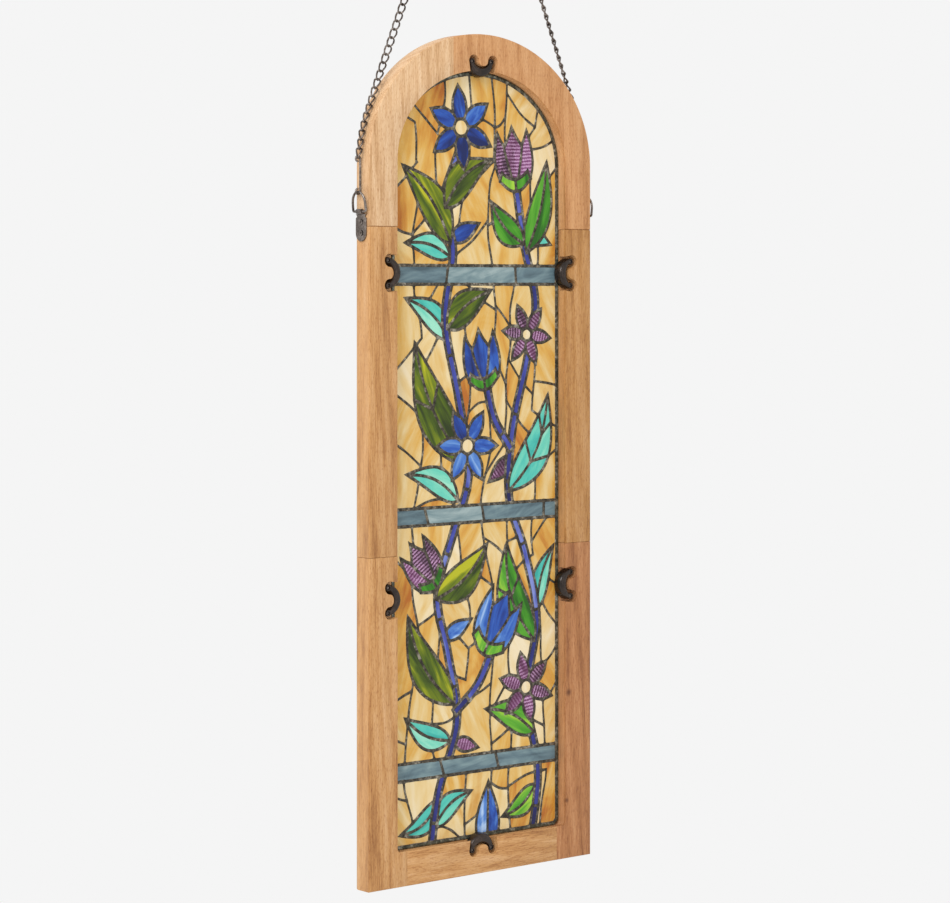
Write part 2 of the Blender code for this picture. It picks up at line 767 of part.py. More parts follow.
def leaded_panel():
    """The lead net with a hole for each area of glass, and the glass areas in their holes."""
    panel = panel_outline()
    holes = {}
    for group, loops in glass_areas(panel, drawing()):
        holes.setdefault(group, []).extend(inside(loops, panel, LEAD_WIDTH / 2, SMALLEST_GLASS / 4))
    glass_front = PANEL_FRONT + (PANEL_THICKNESS - GLASS_THICKNESS) / 2
    reach = 2 * GAP
    openings = []
    for group, found in holes.items():
        for k, loops in enumerate(found, 1):
            name = f"glass_{group}" + (f"_{k}" if len(found) > 1 else "")
            fitted = max(inside(loops, [], GAP, 0), key=lambda parts: area(parts[0]))
            mesh = front_sheet(name, fitted, glass_front, GLASS_THICKNESS)
            keep(name, mesh, GLASS[GLASS_COLOURS[group]])
            openings.append(front_sheet("opening", loops, PANEL_FRONT - reach, PANEL_THICKNESS + 2 * reach))
    net = keep("leadwork", front_sheet("leadwork", [panel], PANEL_FRONT, PANEL_THICKNESS), SOLDER)
    boolean(net, "DIFFERENCE", cutter("glass_openings", joined("glass_openings", openings)))


def hangers(boards):
    """The strap hangers, screws and leaning D-rings on the two long edges."""
    edge = FRAME_WIDTH / 2
    fold_radius = D_RING_WIRE / 2 + GAP + PLATE_THICKNESS
    bar_x = edge + GAP + fold_radius
    plate_x = edge + GAP + PLATE_THICKNESS / 2
    bar_height = PLATE_FOOT + PLATE_LENGTH + fold_radius
    foot = PLATE_FOOT + PLATE_WIDTH / 2
    half = PLATE_WIDTH / 2
    turns = [math.pi + math.pi * k / 6 for k in range(7)]
    outline = [Vector((half * math.cos(t), foot + half * math.sin(t))) for t in turns]
    top = PLATE_FOOT + PLATE_LENGTH
    slope = (PLATE_WIDTH - TONGUE_WIDTH) / 4
    outline += [Vector((half, top - slope)), Vector((half - slope, top)), Vector((slope - half, top)),
                Vector((-half, top - slope))]
    holes = []
    screw_heights = [foot + SCREW_SPACING * k for k in range(2)]
    for height in screw_heights:
        rim = [2 * math.pi * k / 8 for k in range(8)]
        holes.append([Vector((0, height)) + (SCREW_SHANK / 2 + GAP) * Vector((math.cos(t), math.sin(t)))
                      for t in rim])
    plate = side_sheet("hanger_plate", [outline] + holes, plate_x, PLATE_THICKNESS)
    rim = [2 * math.pi * k / 12 for k in range(12)]
    centre = Vector((bar_x, bar_height))
    outside = [centre + fold_radius * Vector((math.cos(t), math.sin(t))) for t in rim]
    bore = [centre + (fold_radius - PLATE_THICKNESS) * Vector((math.cos(t), math.sin(t))) for t in rim]
    roll = front_sheet("roll", [outside, bore], -TONGUE_WIDTH / 2, TONGUE_WIDTH)
    low = top - slope
    strap = [Vector((edge + GAP, low)), Vector((edge + GAP + PLATE_THICKNESS, low)),
             Vector((edge + GAP + PLATE_THICKNESS, bar_height)), Vector((edge + GAP, bar_height))]
    tongue = front_sheet("tongue", [strap], -TONGUE_WIDTH / 2, TONGUE_WIDTH)
    ring = d_ring_mesh(bar_x, bar_height)
    screw = screw_mesh(edge + GAP + PLATE_THICKNESS + GAP)
    bore_tool = rod_mesh(2 * SCREW_LENGTH, SCREW_SHANK / 2 + GAP)
    for side, sign in (("left", -1), ("right", 1)):
        plates = [m if sign > 0 else mirrored(m) for m in (plate, roll, tongue)]
        piece = keep(f"hanger_plate_{side}", plates[0].copy(), STEEL)
        for name, mesh in (("roll", plates[1]), ("tongue", plates[2])):
            boolean(piece, "UNION", cutter(f"{name}_{side}", mesh.copy()))
        keep(f"d_ring_{side}", ring.copy() if sign > 0 else mirrored(ring), STEEL)
        for k, height in enumerate(screw_heights, 1):
            lifted = screw.copy() if sign > 0 else mirrored(screw)
            lifted.transform(Matrix.Translation((0, 0, height)))
            keep(f"hanger_screw_{side}_{k}", lifted, STEEL)
            drilled = bore_tool.copy()
            drilled.transform(Matrix.Translation((sign * edge, 0, height)))
            board = "arched_head" if height > HEAD_JOINT else f"stile_{side}_upper"
            boolean(boards[board], "DIFFERENCE", cutter(f"bore_{side}_{k}", drilled))
    return bar_x, bar_height


def d_ring_mesh(bar_x, bar_height):
    """A D of wire, its straight side in the strap's roll and its top leaning off the wood."""
    half = (D_RING_WIDTH - D_RING_WIRE) / 2
    rise = D_RING_HEIGHT - D_RING_WIRE
    shoulder = rise * 0.25
    turns = [math.pi * k / 8 for k in range(9)]
    path = [Vector((0, half * math.cos(t), shoulder + (rise - shoulder) * math.sin(t) ** 0.8))
            for t in turns]
    path += [Vector((0, -half, 0)), Vector((0, half, 0))]
    mesh = wire_mesh("d_ring", path, D_RING_WIRE, cyclic=True)
    mesh.transform(Matrix.Translation((bar_x, 0, bar_height)) @ Matrix.Rotation(D_RING_LEAN, 4, "Y"))
    return mesh


def screw_mesh(seat):
    """A round-headed screw along X, its head's underside at x = seat, its point in the wood."""
    head = SCREW_HEAD / 2
    shank = SCREW_SHANK / 2
    profile = [(0, SCREW_HEAD_HEIGHT), (head * 0.7, SCREW_HEAD_HEIGHT), (head, SCREW_HEAD_HEIGHT * 0.4)]
    profile += [(head, 0), (shank, 0), (shank, -SCREW_LENGTH * 0.8), (0, -SCREW_LENGTH)]
    body = bmesh.new()
    points = [body.verts.new((radius, 0, height)) for radius, height in profile]
    for a, b in zip(points, points[1:]):
        body.edges.new((a, b))
    bmesh.ops.spin(body, geom=body.verts[:] + body.edges[:], cent=(0, 0, 0), axis=(0, 0, 1),
                   angle=2 * math.pi, steps=8, use_merge=True)
    bmesh.ops.remove_doubles(body, verts=body.verts, dist=1e-6)
    bmesh.ops.recalc_face_normals(body, faces=body.faces)
    mesh = bpy.data.meshes.new("screw")
    body.to_mesh(mesh)
    body.free()
    mesh.transform(Matrix.Translation((seat, 0, 0)) @ Matrix.Rotation(math.pi / 2, 4, "Y"))
    return mesh


def hook_mesh(eye_x, low_height, high_height):
    """A long shank on the wood's side with an open eye at each end, in the XZ plane."""
    eye = (HOOK_EYE - HOOK_WIRE) / 2
    open_end = math.radians(92)
    path = []
    halves = ((2 * math.pi + open_end, math.pi, low_height), (math.pi, -open_end, high_height))
    for start, end, height in halves:
        for k in range(8):
            t = start + (end - start) * k / 7
            path.append(Vector((eye_x + eye * math.cos(t), 0, height + eye * math.sin(t))))
    return wire_mesh("hook", path, HOOK_WIRE)


def taut_path(start, end):
    """The chain's line: straight off the hook, round the arch, straight on to the ring."""
    steps = 120
    turns = [math.pi / 2 * k / steps for k in range(steps + 1)]
    half_span = FRAME_WIDTH / 2 + CHAIN_GRIP
    rise = ARCH_RISE + CHAIN_GRIP
    bend = [Vector((half_span * math.cos(t), SPRING + rise * math.sin(t))) for t in turns]
    first = max((k for k in range(steps) if bend[k].y > start.y),
                key=lambda k: math.atan2((bend[k] - start).x, (bend[k] - start).y))
    last = max(range(steps), key=lambda k: math.atan2((bend[k] - end).x, (end - bend[k]).y))
    return [start] + bend[first:last + 1], [end]


def path_length(path):
    return sum((b - a).length for a, b in zip(path, path[1:]))


def at_length(path, length):
    """The point and the heading at a length along the path."""
    for a, b in zip(path, path[1:]):
        run = (b - a).length
        if length <= run or b is path[-1]:
            return a.lerp(b, length / run), (b - a).normalized()
        length -= run


def link_mesh():
    """One curb link along Z, its wire three-sided with an edge inwards, twisted from end to end."""
    half_width = (CHAIN_WIDTH - CHAIN_WIRE) / 2
    half_length = CHAIN_PITCH / 2 + LINK_BITE
    radius = CHAIN_WIRE / 2
    body = bmesh.new()
    rings = []
    for side, end in ((1, 1), (-1, 1), (-1, -1), (1, -1)):
        ring = []
        for k in range(3):
            t = 2 * math.pi * k / 3
            reach = radius * LINK_MITRE * math.cos(t)
            corner = (radius * math.sin(t), side * (half_width - reach), end * (half_length - reach))
            ring.append(body.verts.new(corner))
        rings.append(ring)
    for a, b in zip(rings, rings[1:] + rings[:1]):
        for k in range(3):
            body.faces.new((a[k], a[(k + 1) % 3], b[(k + 1) % 3], b[k]))
    bmesh.ops.recalc_face_normals(body, faces=body.faces)
    for vertex in body.verts:
        vertex.co = Matrix.Rotation(-LINK_TWIST * vertex.co.z / half_length, 3, "Z") @ vertex.co
    bmesh.ops.triangulate(body, faces=body.faces[:])
    mesh = bpy.data.meshes.new("link")
    body.to_mesh(mesh)
    body.free()
    return mesh


def chain_run(start):
    """The chain's line to the ring, which hangs as high as a whole number of links lets it."""
    grip = (RING_DIAMETER - RING_WIRE) / 2
    reach = RING_WIRE / 2 + 3 * GAP
    low, high = FRAME_HEIGHT, FRAME_HEIGHT + CHAIN_LINKS * CHAIN_PITCH
    while high - low > 1e-6:
        middle = (low + high) / 2
        hold = Vector((grip * math.sin(RING_SPREAD), middle - grip * math.cos(RING_SPREAD)))
        wood, free = taut_path(start, hold)
        heading = (hold - wood[-1]).normalized()
        path = wood + [hold + heading * reach]
        if path_length(path) < CHAIN_LINKS * CHAIN_PITCH:
            low = middle
        else:
            high = middle
    return path, path_length(wood), middle


def chain_meshes(path, on_wood):
    """The odd and the even links, each set apart from the other."""
    link = link_mesh()
    sets = (bmesh.new(), bmesh.new())
    for k in range(CHAIN_LINKS):
        reach = (k + 0.5) * CHAIN_PITCH
        place, heading = at_length(path, reach)
        to_ring = CHAIN_LINKS * CHAIN_PITCH - reach
        eased_in = min(1, max(0, reach - on_wood) / (8 * CHAIN_PITCH), to_ring / (6 * CHAIN_PITCH))
        roll = FREE_ROLL * eased_in
        along = Vector((heading.x, 0, heading.y))
        outward = Vector((heading.y, 0, -heading.x)) * math.cos(roll) - Vector((0, math.sin(roll), 0))
        across = along.cross(outward)
        turn = Matrix((outward, across, along)).transposed().to_4x4()
        copy = link.copy()
        copy.transform(Matrix.Translation((place.x, 0, place.y)) @ turn)
        sets[k % 2].from_mesh(copy)
        bpy.data.meshes.remove(copy)
    meshes = []
    for body, name in zip(sets, ("even_links", "odd_links")):
        mesh = bpy.data.meshes.new(name)
        body.to_mesh(mesh)
        body.free()
        meshes.append(mesh)
    return meshes


def suspension(bar_x, bar_height):
    """Hooks in the D-rings, a chain up each side and the ring that joins them."""
    rise = D_RING_HEIGHT - D_RING_WIRE
    eye_x = bar_x + rise * math.sin(D_RING_LEAN)
    apex = bar_height + rise * math.cos(D_RING_LEAN)
    eye = (HOOK_EYE - HOOK_WIRE) / 2
    low = apex - (D_RING_WIRE + HOOK_WIRE) / 2 - GAP + eye
    high = low + HOOK_LENGTH - HOOK_EYE
    hook = hook_mesh(eye_x, low, high)
    start = Vector((eye_x, high + eye - (HOOK_WIRE + CHAIN_WIRE) / 2 - 2 * GAP + LINK_BITE))
    path, on_wood, ring_height = chain_run(start)
    even, odd = chain_meshes(path, on_wood)
    keep("chain_hook_left", mirrored(hook), STEEL)
    keep("chain_hook_right", hook, STEEL)
    left_chain = united(mirrored(even), mirrored(odd))
    keep("chain_right", mirrored(left_chain), STEEL)
    keep("chain_left", left_chain, STEEL)
    grip = (RING_DIAMETER - RING_WIRE) / 2
    bpy.ops.mesh.primitive_torus_add(major_segments=16, minor_segments=5, major_radius=grip,
                                     minor_radius=RING_WIRE / 2, rotation=(math.pi / 2, 0, 0),
                                     location=(0, 0, ring_height))
    torus = bpy.context.object
    ring = torus.data.copy()
    ring.transform(torus.matrix_world)
    bpy.data.objects.remove(torus, do_unlink=True)
    keep("hanging_ring", ring, STEEL)
    ROOT.location.z = -(ring_height + grip - RING_WIRE / 2)


def main():
    boards = frame_boards()
    clips(boards)
    leaded_panel()
    bar_x, bar_height = hangers(boards)
    suspension(bar_x, bar_height)


main()
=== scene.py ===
"""The stained glass window as it looks, built over its CAD frame. Metres, +Z up, the front faces -Y."""

import math
import random

import bpy
from mathutils import Matrix, Vector, noise
from mathutils.bvhtree import BVHTree
from mathutils.geometry import delaunay_2d_cdt, tessellate_polygon


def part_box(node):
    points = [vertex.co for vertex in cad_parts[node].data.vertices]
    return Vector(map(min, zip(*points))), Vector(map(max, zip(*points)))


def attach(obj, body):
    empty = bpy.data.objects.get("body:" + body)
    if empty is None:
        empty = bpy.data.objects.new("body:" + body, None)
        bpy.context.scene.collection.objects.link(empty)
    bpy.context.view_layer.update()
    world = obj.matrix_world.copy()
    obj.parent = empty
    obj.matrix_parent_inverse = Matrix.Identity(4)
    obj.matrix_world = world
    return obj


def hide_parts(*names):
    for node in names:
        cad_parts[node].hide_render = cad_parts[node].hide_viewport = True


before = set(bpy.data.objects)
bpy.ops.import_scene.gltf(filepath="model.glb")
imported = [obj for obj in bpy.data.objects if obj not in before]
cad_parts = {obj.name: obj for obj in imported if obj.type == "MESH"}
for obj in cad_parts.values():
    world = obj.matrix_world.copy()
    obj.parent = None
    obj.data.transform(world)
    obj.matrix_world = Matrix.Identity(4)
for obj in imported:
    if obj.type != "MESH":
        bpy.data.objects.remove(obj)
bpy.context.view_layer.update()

# Heights are measured from the frame's bottom edge, and each finished piece is lowered by this much
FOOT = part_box("bottom_rail")[0][2]

FRAME_WIDTH = 0.340
FRAME_THICKNESS = 0.028
ARCH_RISE = 0.152
STILE_FACE = 0.041
CROWN_FACE = 0.043
RAIL_FACE = 0.039
LEDGE = 0.014
HEAD_JOINT = 0.758
STILE_JOINT = 0.380
CORNER_RADIUS = 0.006
SPRING = 0.834
FRONT = -FRAME_THICKNESS / 2
OPENING_HALF = FRAME_WIDTH / 2 - STILE_FACE
OPENING_RISE = ARCH_RISE - CROWN_FACE
GAP = 0.0003

PANEL_FRONT = -0.002
PANEL_BACK = 0.0027
GLASS_FRONT = -0.00115
GLASS_BACK = 0.00185
LEDGE_FRONT = PANEL_BACK + GAP
SILL = RAIL_FACE + 0.001

STEEL_WIRE = 0.0028
HOOK_WIRE = 0.0024
LINK_WIRE = 0.002
PITCH = 0.0106
LINKS = 44

FRONT_EASE = 0.0016
BACK_EASE = 0.0065
SEAM = 0.00008
SCREW_BORE = 0.0018
PLATE_FOOT = 0.741
PLATE_WIDTH = 0.019
SCREW_PITCH = 0.0125

# Turns of a bar that is made along Z
ALONG_X = (0, math.pi / 2, 0)
ALONG_Y = (math.pi / 2, 0, 0)


# Handling of pieces


def at_rest():
    """Object mode with nothing selected."""
    if bpy.context.object and bpy.context.object.mode == "EDIT":
        bpy.ops.object.mode_set(mode="OBJECT")
    bpy.ops.object.select_all(action="DESELECT")


def grasped(piece):
    at_rest()
    piece.select_set(True)
    bpy.context.view_layer.objects.active = piece
    return piece


def settled(piece, name=None):
    """The piece with its place, turn and size taken into its mesh."""
    grasped(piece)
    bpy.ops.object.transform_apply(location=True, rotation=True, scale=True)
    if name:
        piece.name = name
        piece.data.name = name
    return piece


def picked(piece, kind, test):
    """Edit mode with just those vertices, edges or faces selected whose corners pass the test."""
    grasped(piece)
    bpy.ops.object.mode_set(mode="EDIT")
    bpy.ops.mesh.select_mode(type=kind)
    bpy.ops.mesh.select_all(action="DESELECT")
    bpy.ops.object.mode_set(mode="OBJECT")
    mesh = piece.data
    parts = {"VERT": mesh.vertices, "EDGE": mesh.edges, "FACE": mesh.polygons}[kind]
    for part in parts:
        corners = [part.co] if kind == "VERT" else [mesh.vertices[k].co for k in part.vertices]
        part.select = test(corners)
    bpy.ops.object.mode_set(mode="EDIT")


def cut(piece, tool, operation="DIFFERENCE"):
    """Takes the tool's shape out of the piece, or joins it on, and clears the tool away."""
    grasped(piece)
    step = piece.modifiers.new("cut", "BOOLEAN")
    step.operation = operation
    step.solver = "EXACT"
    step.object = tool
    bpy.ops.object.modifier_apply(modifier=step.name)
    bpy.data.objects.remove(tool, do_unlink=True)


def block(low, high):
    at_rest()
    middle = [(a + b) / 2 for a, b in zip(low, high)]
    bpy.ops.mesh.primitive_cube_add(size=1, location=middle)
    piece = bpy.context.object
    piece.scale = [b - a for a, b in zip(low, high)]
    return settled(piece)


def rod(centre, radius, depth, turn=(0, 0, 0), sides=32, top=None):
    """A round bar, or a cone where its top has another radius, along Z before it is turned."""
    at_rest()
    bpy.ops.mesh.primitive_cone_add(vertices=sides, radius1=radius, radius2=radius if top is None else top,
                                    depth=depth, location=centre, rotation=turn)
    return settled(bpy.context.object)


def set_out(name, data):
    thing = bpy.data.objects.new(name, data)
    bpy.context.scene.collection.objects.link(thing)
    return thing


def piece_of(name, corners, faces):
    mesh = bpy.data.meshes.new(name)
    mesh.from_pydata([tuple(c) for c in corners], [], faces)
    return set_out(name, mesh)


def copied(piece, name, change=None):
    """A copy with a mesh of its own, moved, turned or mirrored by the change."""
    copy = set_out(name, piece.data.copy())
    if change is not None:
        copy.data.transform(change)
    return copy


def facing_out(piece):
    grasped(piece)
    bpy.ops.object.mode_set(mode="EDIT")
    bpy.ops.mesh.select_all(action="SELECT")
    bpy.ops.mesh.remove_doubles(threshold=1e-6)
    bpy.ops.mesh.normals_make_consistent(inside=False)
    bpy.ops.object.mode_set(mode="OBJECT")
    return piece


def smoothed(piece, degrees=40):
    grasped(piece)
    bpy.ops.object.shade_smooth_by_angle(angle=math.radians(degrees))
    return piece


def softened(piece, width, stays_sharp=lambda ends: False):
    """The piece with its sharp edges rounded, apart from those that stay sharp."""
    grasped(piece)
    bpy.ops.object.mode_set(mode="EDIT")
    bpy.ops.mesh.select_mode(type="EDGE")
    bpy.ops.mesh.select_all(action="DESELECT")
    bpy.ops.mesh.edges_select_sharp(sharpness=math.radians(40))
    bpy.ops.object.mode_set(mode="OBJECT")
    mesh = piece.data
    for edge in mesh.edges:
        if edge.select and stays_sharp([mesh.vertices[k].co for k in edge.vertices]):
            edge.select = False
    bpy.ops.object.mode_set(mode="EDIT")
    bpy.ops.mesh.bevel(offset=width, segments=2, profile=0.5, affect="EDGES", clamp_overlap=True)
    at_rest()
    return piece


def joined(name, pieces):
    grasped(pieces[0])
    for piece in pieces:
        piece.select_set(True)
    bpy.ops.object.join()
    whole = bpy.context.object
    whole.name = name
    whole.data.name = name
    return whole


def fitted(piece, finish, nodes):
    """The finished piece with its material, in its place on the root body for the CAD nodes it stands for."""
    piece.data.transform(Matrix.Translation((0, 0, FOOT)))
    if finish:
        piece.data.materials.clear()
        piece.data.materials.append(finish)
    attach(piece, "root")
    if nodes:
        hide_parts(*nodes)
    return piece


# Finishes


def tint(code):
    """A named colour as a shader takes it."""
    values = [int(code[k:k + 2], 16) / 255 for k in (0, 2, 4)]
    return [v / 12.92 if v <= 0.04045 else ((v + 0.055) / 1.055) ** 2.4 for v in values] + [1]


class Finish:
    """A material's nodes, laid one after another."""

    def __init__(self, name, **settings):
        self.made = bpy.data.materials.new(name)
        self.made.use_nodes = True
        self.nodes = self.made.node_tree.nodes
        self.links = self.made.node_tree.links
        self.shader = self.nodes["Principled BSDF"]
        for socket, value in settings.items():
            self.shader.inputs[socket.replace("_", " ")].default_value = value

    def add(self, kind, settings=None, **inputs):
        node = self.nodes.new(f"ShaderNode{kind}")
        for key, value in (settings or {}).items():
            setattr(node, key, value)
        for key, value in inputs.items():
            self.feed(node.inputs[int(key[1:])] if key[0] == "i" and key[1:].isdigit()
                      else node.inputs[key.replace("_", " ")], value)
        return node

    def feed(self, socket, value):
        if isinstance(value, bpy.types.NodeSocket):
            self.links.new(value, socket)
        elif isinstance(value, bpy.types.Node):
            self.links.new(value.outputs[0], socket)
        else:
            socket.default_value = value

    def sum(self, kind, *values):
        node = self.nodes.new("ShaderNodeMath")
        node.operation = kind
        for socket, value in zip(node.inputs, values):
            self.feed(socket, value)
        return node

    def weighed(self, *parts):
        """The parts added up, each by its share."""
        total = None
        for value, share in parts:
            part = self.sum("MULTIPLY", value, share)
            total = part if total is None else self.sum("ADD", total, part)
        return total

    def spread(self, source, low, high, least=0.0, most=1.0):
        return self.add("MapRange", {"clamp": True}, Value=source, From_Min=low, From_Max=high,
                        To_Min=least, To_Max=most)

    def shades(self, source, stops):
        node = self.nodes.new("ShaderNodeValToRGB")
        ramp = node.color_ramp
        while len(ramp.elements) < len(stops):
            ramp.elements.new(0.5)
        for element, (place, code) in zip(ramp.elements, stops):
            element.position = place
            element.color = tint(code)
        self.feed(node.inputs[0], source)
        return node

    def blend(self, share, first, second, kind="MIX"):
        node = self.nodes.new("ShaderNodeMix")
        node.data_type = "RGBA"
        node.blend_type = kind
        for name, value in (("Factor_Float", share), ("A_Color", first), ("B_Color", second)):
            self.feed(next(s for s in node.inputs if s.identifier == name), value)
        return next(s for s in node.outputs if s.identifier == "Result_Color")

    def relief(self, height, strength, distance):
        bump = self.add("Bump", Height=height, Strength=strength, Distance=distance)
        self.links.new(bump.outputs[0], self.shader.inputs["Normal"])

    def paint(self, socket, value):
        self.feed(self.shader.inputs[socket], value)


def grain_wood(name, shades, along="Z", shift=(0, 0, 0), swirl=1.0, knots=(), strips=None):
    """Oiled hardwood, its grain along one axis: growth bands, fibres, short dark pores and any knots, and
    painted light that makes the faces set back from the front paler.
    """
    finish = Finish(name, Roughness=0.5, Specular_IOR_Level=0.35)
    place = finish.add("TexCoord").outputs["Object"]
    if strips:
        axis = finish.add("SeparateXYZ", Vector=place)
        past = finish.sum("GREATER_THAN", axis.outputs[0], strips[0])
        east, up = finish.sum("MULTIPLY", past, 0.7), finish.sum("MULTIPLY", past, 1.9)
        offset = finish.add("CombineXYZ", X=east, Z=up)
        place = finish.add("VectorMath", {"operation": "ADD"}, i0=place, i1=offset)
    bent = place
    marks = []
    for centre, radius in knots:
        gap = finish.add("VectorMath", {"operation": "DISTANCE"}, i0=place, i1=centre).outputs["Value"]
        near = finish.spread(gap, 0.0, radius * 3.2, 1.0, 0.0)
        marks.append((gap, radius))
        push = finish.add("VectorMath", {"operation": "SUBTRACT"}, i0=place, i1=centre)
        share = finish.sum("MULTIPLY", near, -0.55)
        pushed = finish.add("VectorMath", {"operation": "SCALE"}, i0=push, Scale=share)
        bent = finish.add("VectorMath", {"operation": "ADD"}, i0=bent, i1=pushed)
    long_way = {"X": (4.5, 42, 42), "Z": (42, 42, 3.2)}[along]
    fine_way = {"X": (40, 700, 700), "Z": (700, 700, 40)}[along]
    pore_way = {"X": (190, 1300, 1300), "Z": (1300, 1300, 190)}[along]
    coarse = finish.add("Mapping", Vector=bent, Location=shift, Scale=long_way)
    fine = finish.add("Mapping", Vector=bent, Location=shift, Scale=fine_way)
    pores = finish.add("Mapping", Vector=bent, Location=shift, Scale=pore_way)
    bands = finish.add("TexNoise", Vector=coarse, Scale=1.0, Detail=6.0, Roughness=0.55, Distortion=swirl)
    rings = finish.add("TexWave", {"wave_type": "BANDS", "bands_direction": "DIAGONAL"}, Vector=coarse,
                       Scale=0.8, Distortion=7.0, Detail=3.0, Detail_Scale=0.9)
    fibres = finish.add("TexNoise", Vector=fine, Scale=1.0, Detail=3.0, Roughness=0.6)
    short = finish.add("TexNoise", Vector=pores, Scale=1.0, Detail=1.0)
    depth = finish.weighed((bands.outputs[0], 0.45), (rings.outputs[1], 0.09), (fibres.outputs[0], 0.46))
    body = finish.shades(depth, list(zip((0.35, 0.46, 0.54, 0.66), shades)))
    speck = finish.spread(short.outputs[0], 0.56, 0.66)
    colour = finish.blend(finish.sum("MULTIPLY", speck, 0.42), body.outputs[0], tint("b98a5c"), "MULTIPLY")
    if strips:
        colour = finish.blend(finish.sum("MULTIPLY", past, 0.75), colour, tint(strips[1]), "MULTIPLY")
    for gap, radius in marks:
        rim = finish.spread(gap, radius * 1.3, radius * 0.3)
        colour = finish.blend(finish.sum("MULTIPLY", rim, 0.7), colour, tint("6a3a1e"), "MULTIPLY")
    # Painted light: faces set back from the front face (the sides, the rebate and pocket walls and floors)
    # are mixed a little towards a pale tan, so they look as lit as the front
    deep = finish.add("SeparateXYZ", Vector=finish.add("TexCoord").outputs["Object"]).outputs[1]
    painted_side_light = finish.spread(deep, FRONT + 0.0012, FRONT + 0.0036, 0.0, 0.16)
    colour = finish.blend(painted_side_light, colour, tint("e6b98c"))
    finish.paint("Base Color", colour)
    finish.paint("Roughness", finish.spread(fibres.outputs[0], 0.3, 0.7, 0.42, 0.58))
    height = finish.sum("SUBTRACT", fibres.outputs[0], speck)
    finish.relief(height, 0.25, 0.0004)
    return finish.made


def streaky_glass(name, stops, swirl=1.6, tone=0.35, streaks=1.0, ripple=None):
    """Rolled opalescent glass: streaks along each piece's own direction, wisps and a faintly uneven face;
    rippled glass gets painted highlights along its ripple crests.
    """
    finish = Finish(name, Roughness=0.2, Specular_IOR_Level=0.3)
    along = finish.add("UVMap").outputs[0]
    own = finish.add("Attribute", {"attribute_name": "tone"}).outputs["Fac"]
    lines = finish.add("Mapping", Vector=along, Scale=(9, 95 * streaks, 1))
    wisps = finish.add("Mapping", Vector=along, Scale=(16, 42 * streaks, 1))
    streak = finish.add("TexNoise", Vector=lines, Scale=1.0, Detail=4.0, Roughness=0.55, Distortion=0.4)
    wisp = finish.add("TexNoise", Vector=wisps, Scale=1.0, Detail=3.0, Roughness=0.5, Distortion=swirl)
    mixed = finish.weighed((streak.outputs[0], 0.5), (wisp.outputs[0], 0.5))
    lifted = finish.sum("ADD", mixed, finish.sum("MULTIPLY", finish.sum("SUBTRACT", own, 0.5), tone))
    colour = finish.shades(lifted, stops).outputs[0]
    grain = finish.add("Mapping", Vector=along, Scale=(130, 260, 1))
    rolled = finish.add("TexNoise", Vector=grain, Scale=1.0, Detail=2.0)
    height = rolled.outputs[0]
    if ripple:
        waves = finish.add("TexWave", {"wave_type": "BANDS", "bands_direction": "X"}, Vector=along,
                           Scale=78.0, Distortion=3.6, Detail=2.5, Detail_Scale=9.0)
        # Painted highlight: in patches, the ripple crests are mixed towards the pale lilac colour given as
        # ripple; the crests also raise the relief
        crest = finish.spread(waves.outputs[1], 0.3, 0.9)
        patchy = finish.spread(wisp.outputs[0], 0.38, 0.62, 0.15, 0.9)
        colour = finish.blend(finish.sum("MULTIPLY", crest, patchy), colour, tint(ripple))
        height = finish.sum("ADD", finish.sum("MULTIPLY", crest, 2.2), height)
    finish.paint("Base Color", colour)
    finish.relief(height, 0.3, 0.00035)
    return finish.made


def dark_steel(name, codes, roughness, metallic, scale=420.0, bump=0.15):
    """Darkened steel or iron, finely mottled and worn in patches."""
    finish = Finish(name, Metallic=metallic)
    place = finish.add("TexCoord").outputs["Object"]
    mottle = finish.add("TexNoise", Vector=place, Scale=scale, Detail=4.0, Roughness=0.6)
    patch = finish.add("TexNoise", Vector=place, Scale=scale / 9, Detail=2.0)
    both = finish.weighed((mottle.outputs[0], 0.5), (patch.outputs[0], 0.5))
    finish.paint("Base Color", finish.shades(both, list(zip((0.38, 0.52, 0.66), codes))))
    finish.paint("Roughness", finish.spread(patch.outputs[0], 0.35, 0.65, *roughness))
    finish.relief(mottle.outputs[0], bump, 0.0002)
    return finish.made


def solder_finish(name, codes, shine):
    """Patinated solder: dark grey with worn silvery crowns on its beads."""
    finish = Finish(name, Metallic=0.65)
    place = finish.add("TexCoord").outputs["Object"]
    beads = finish.add("TexNoise", Vector=place, Scale=260.0, Detail=2.0, Roughness=0.5, Distortion=0.5)
    lumps = finish.add("TexNoise", Vector=place, Scale=90.0, Detail=2.0)
    both = finish.weighed((beads.outputs[0], 0.6), (lumps.outputs[0], 0.4))
    finish.paint("Base Color", finish.shades(both, list(zip((0.36, 0.50, 0.58, shine), codes))))
    finish.paint("Roughness", finish.spread(both, 0.4, 0.65, 0.55, 0.36))
    finish.relief(beads.outputs[0], 0.3, 0.0005)
    return finish.made


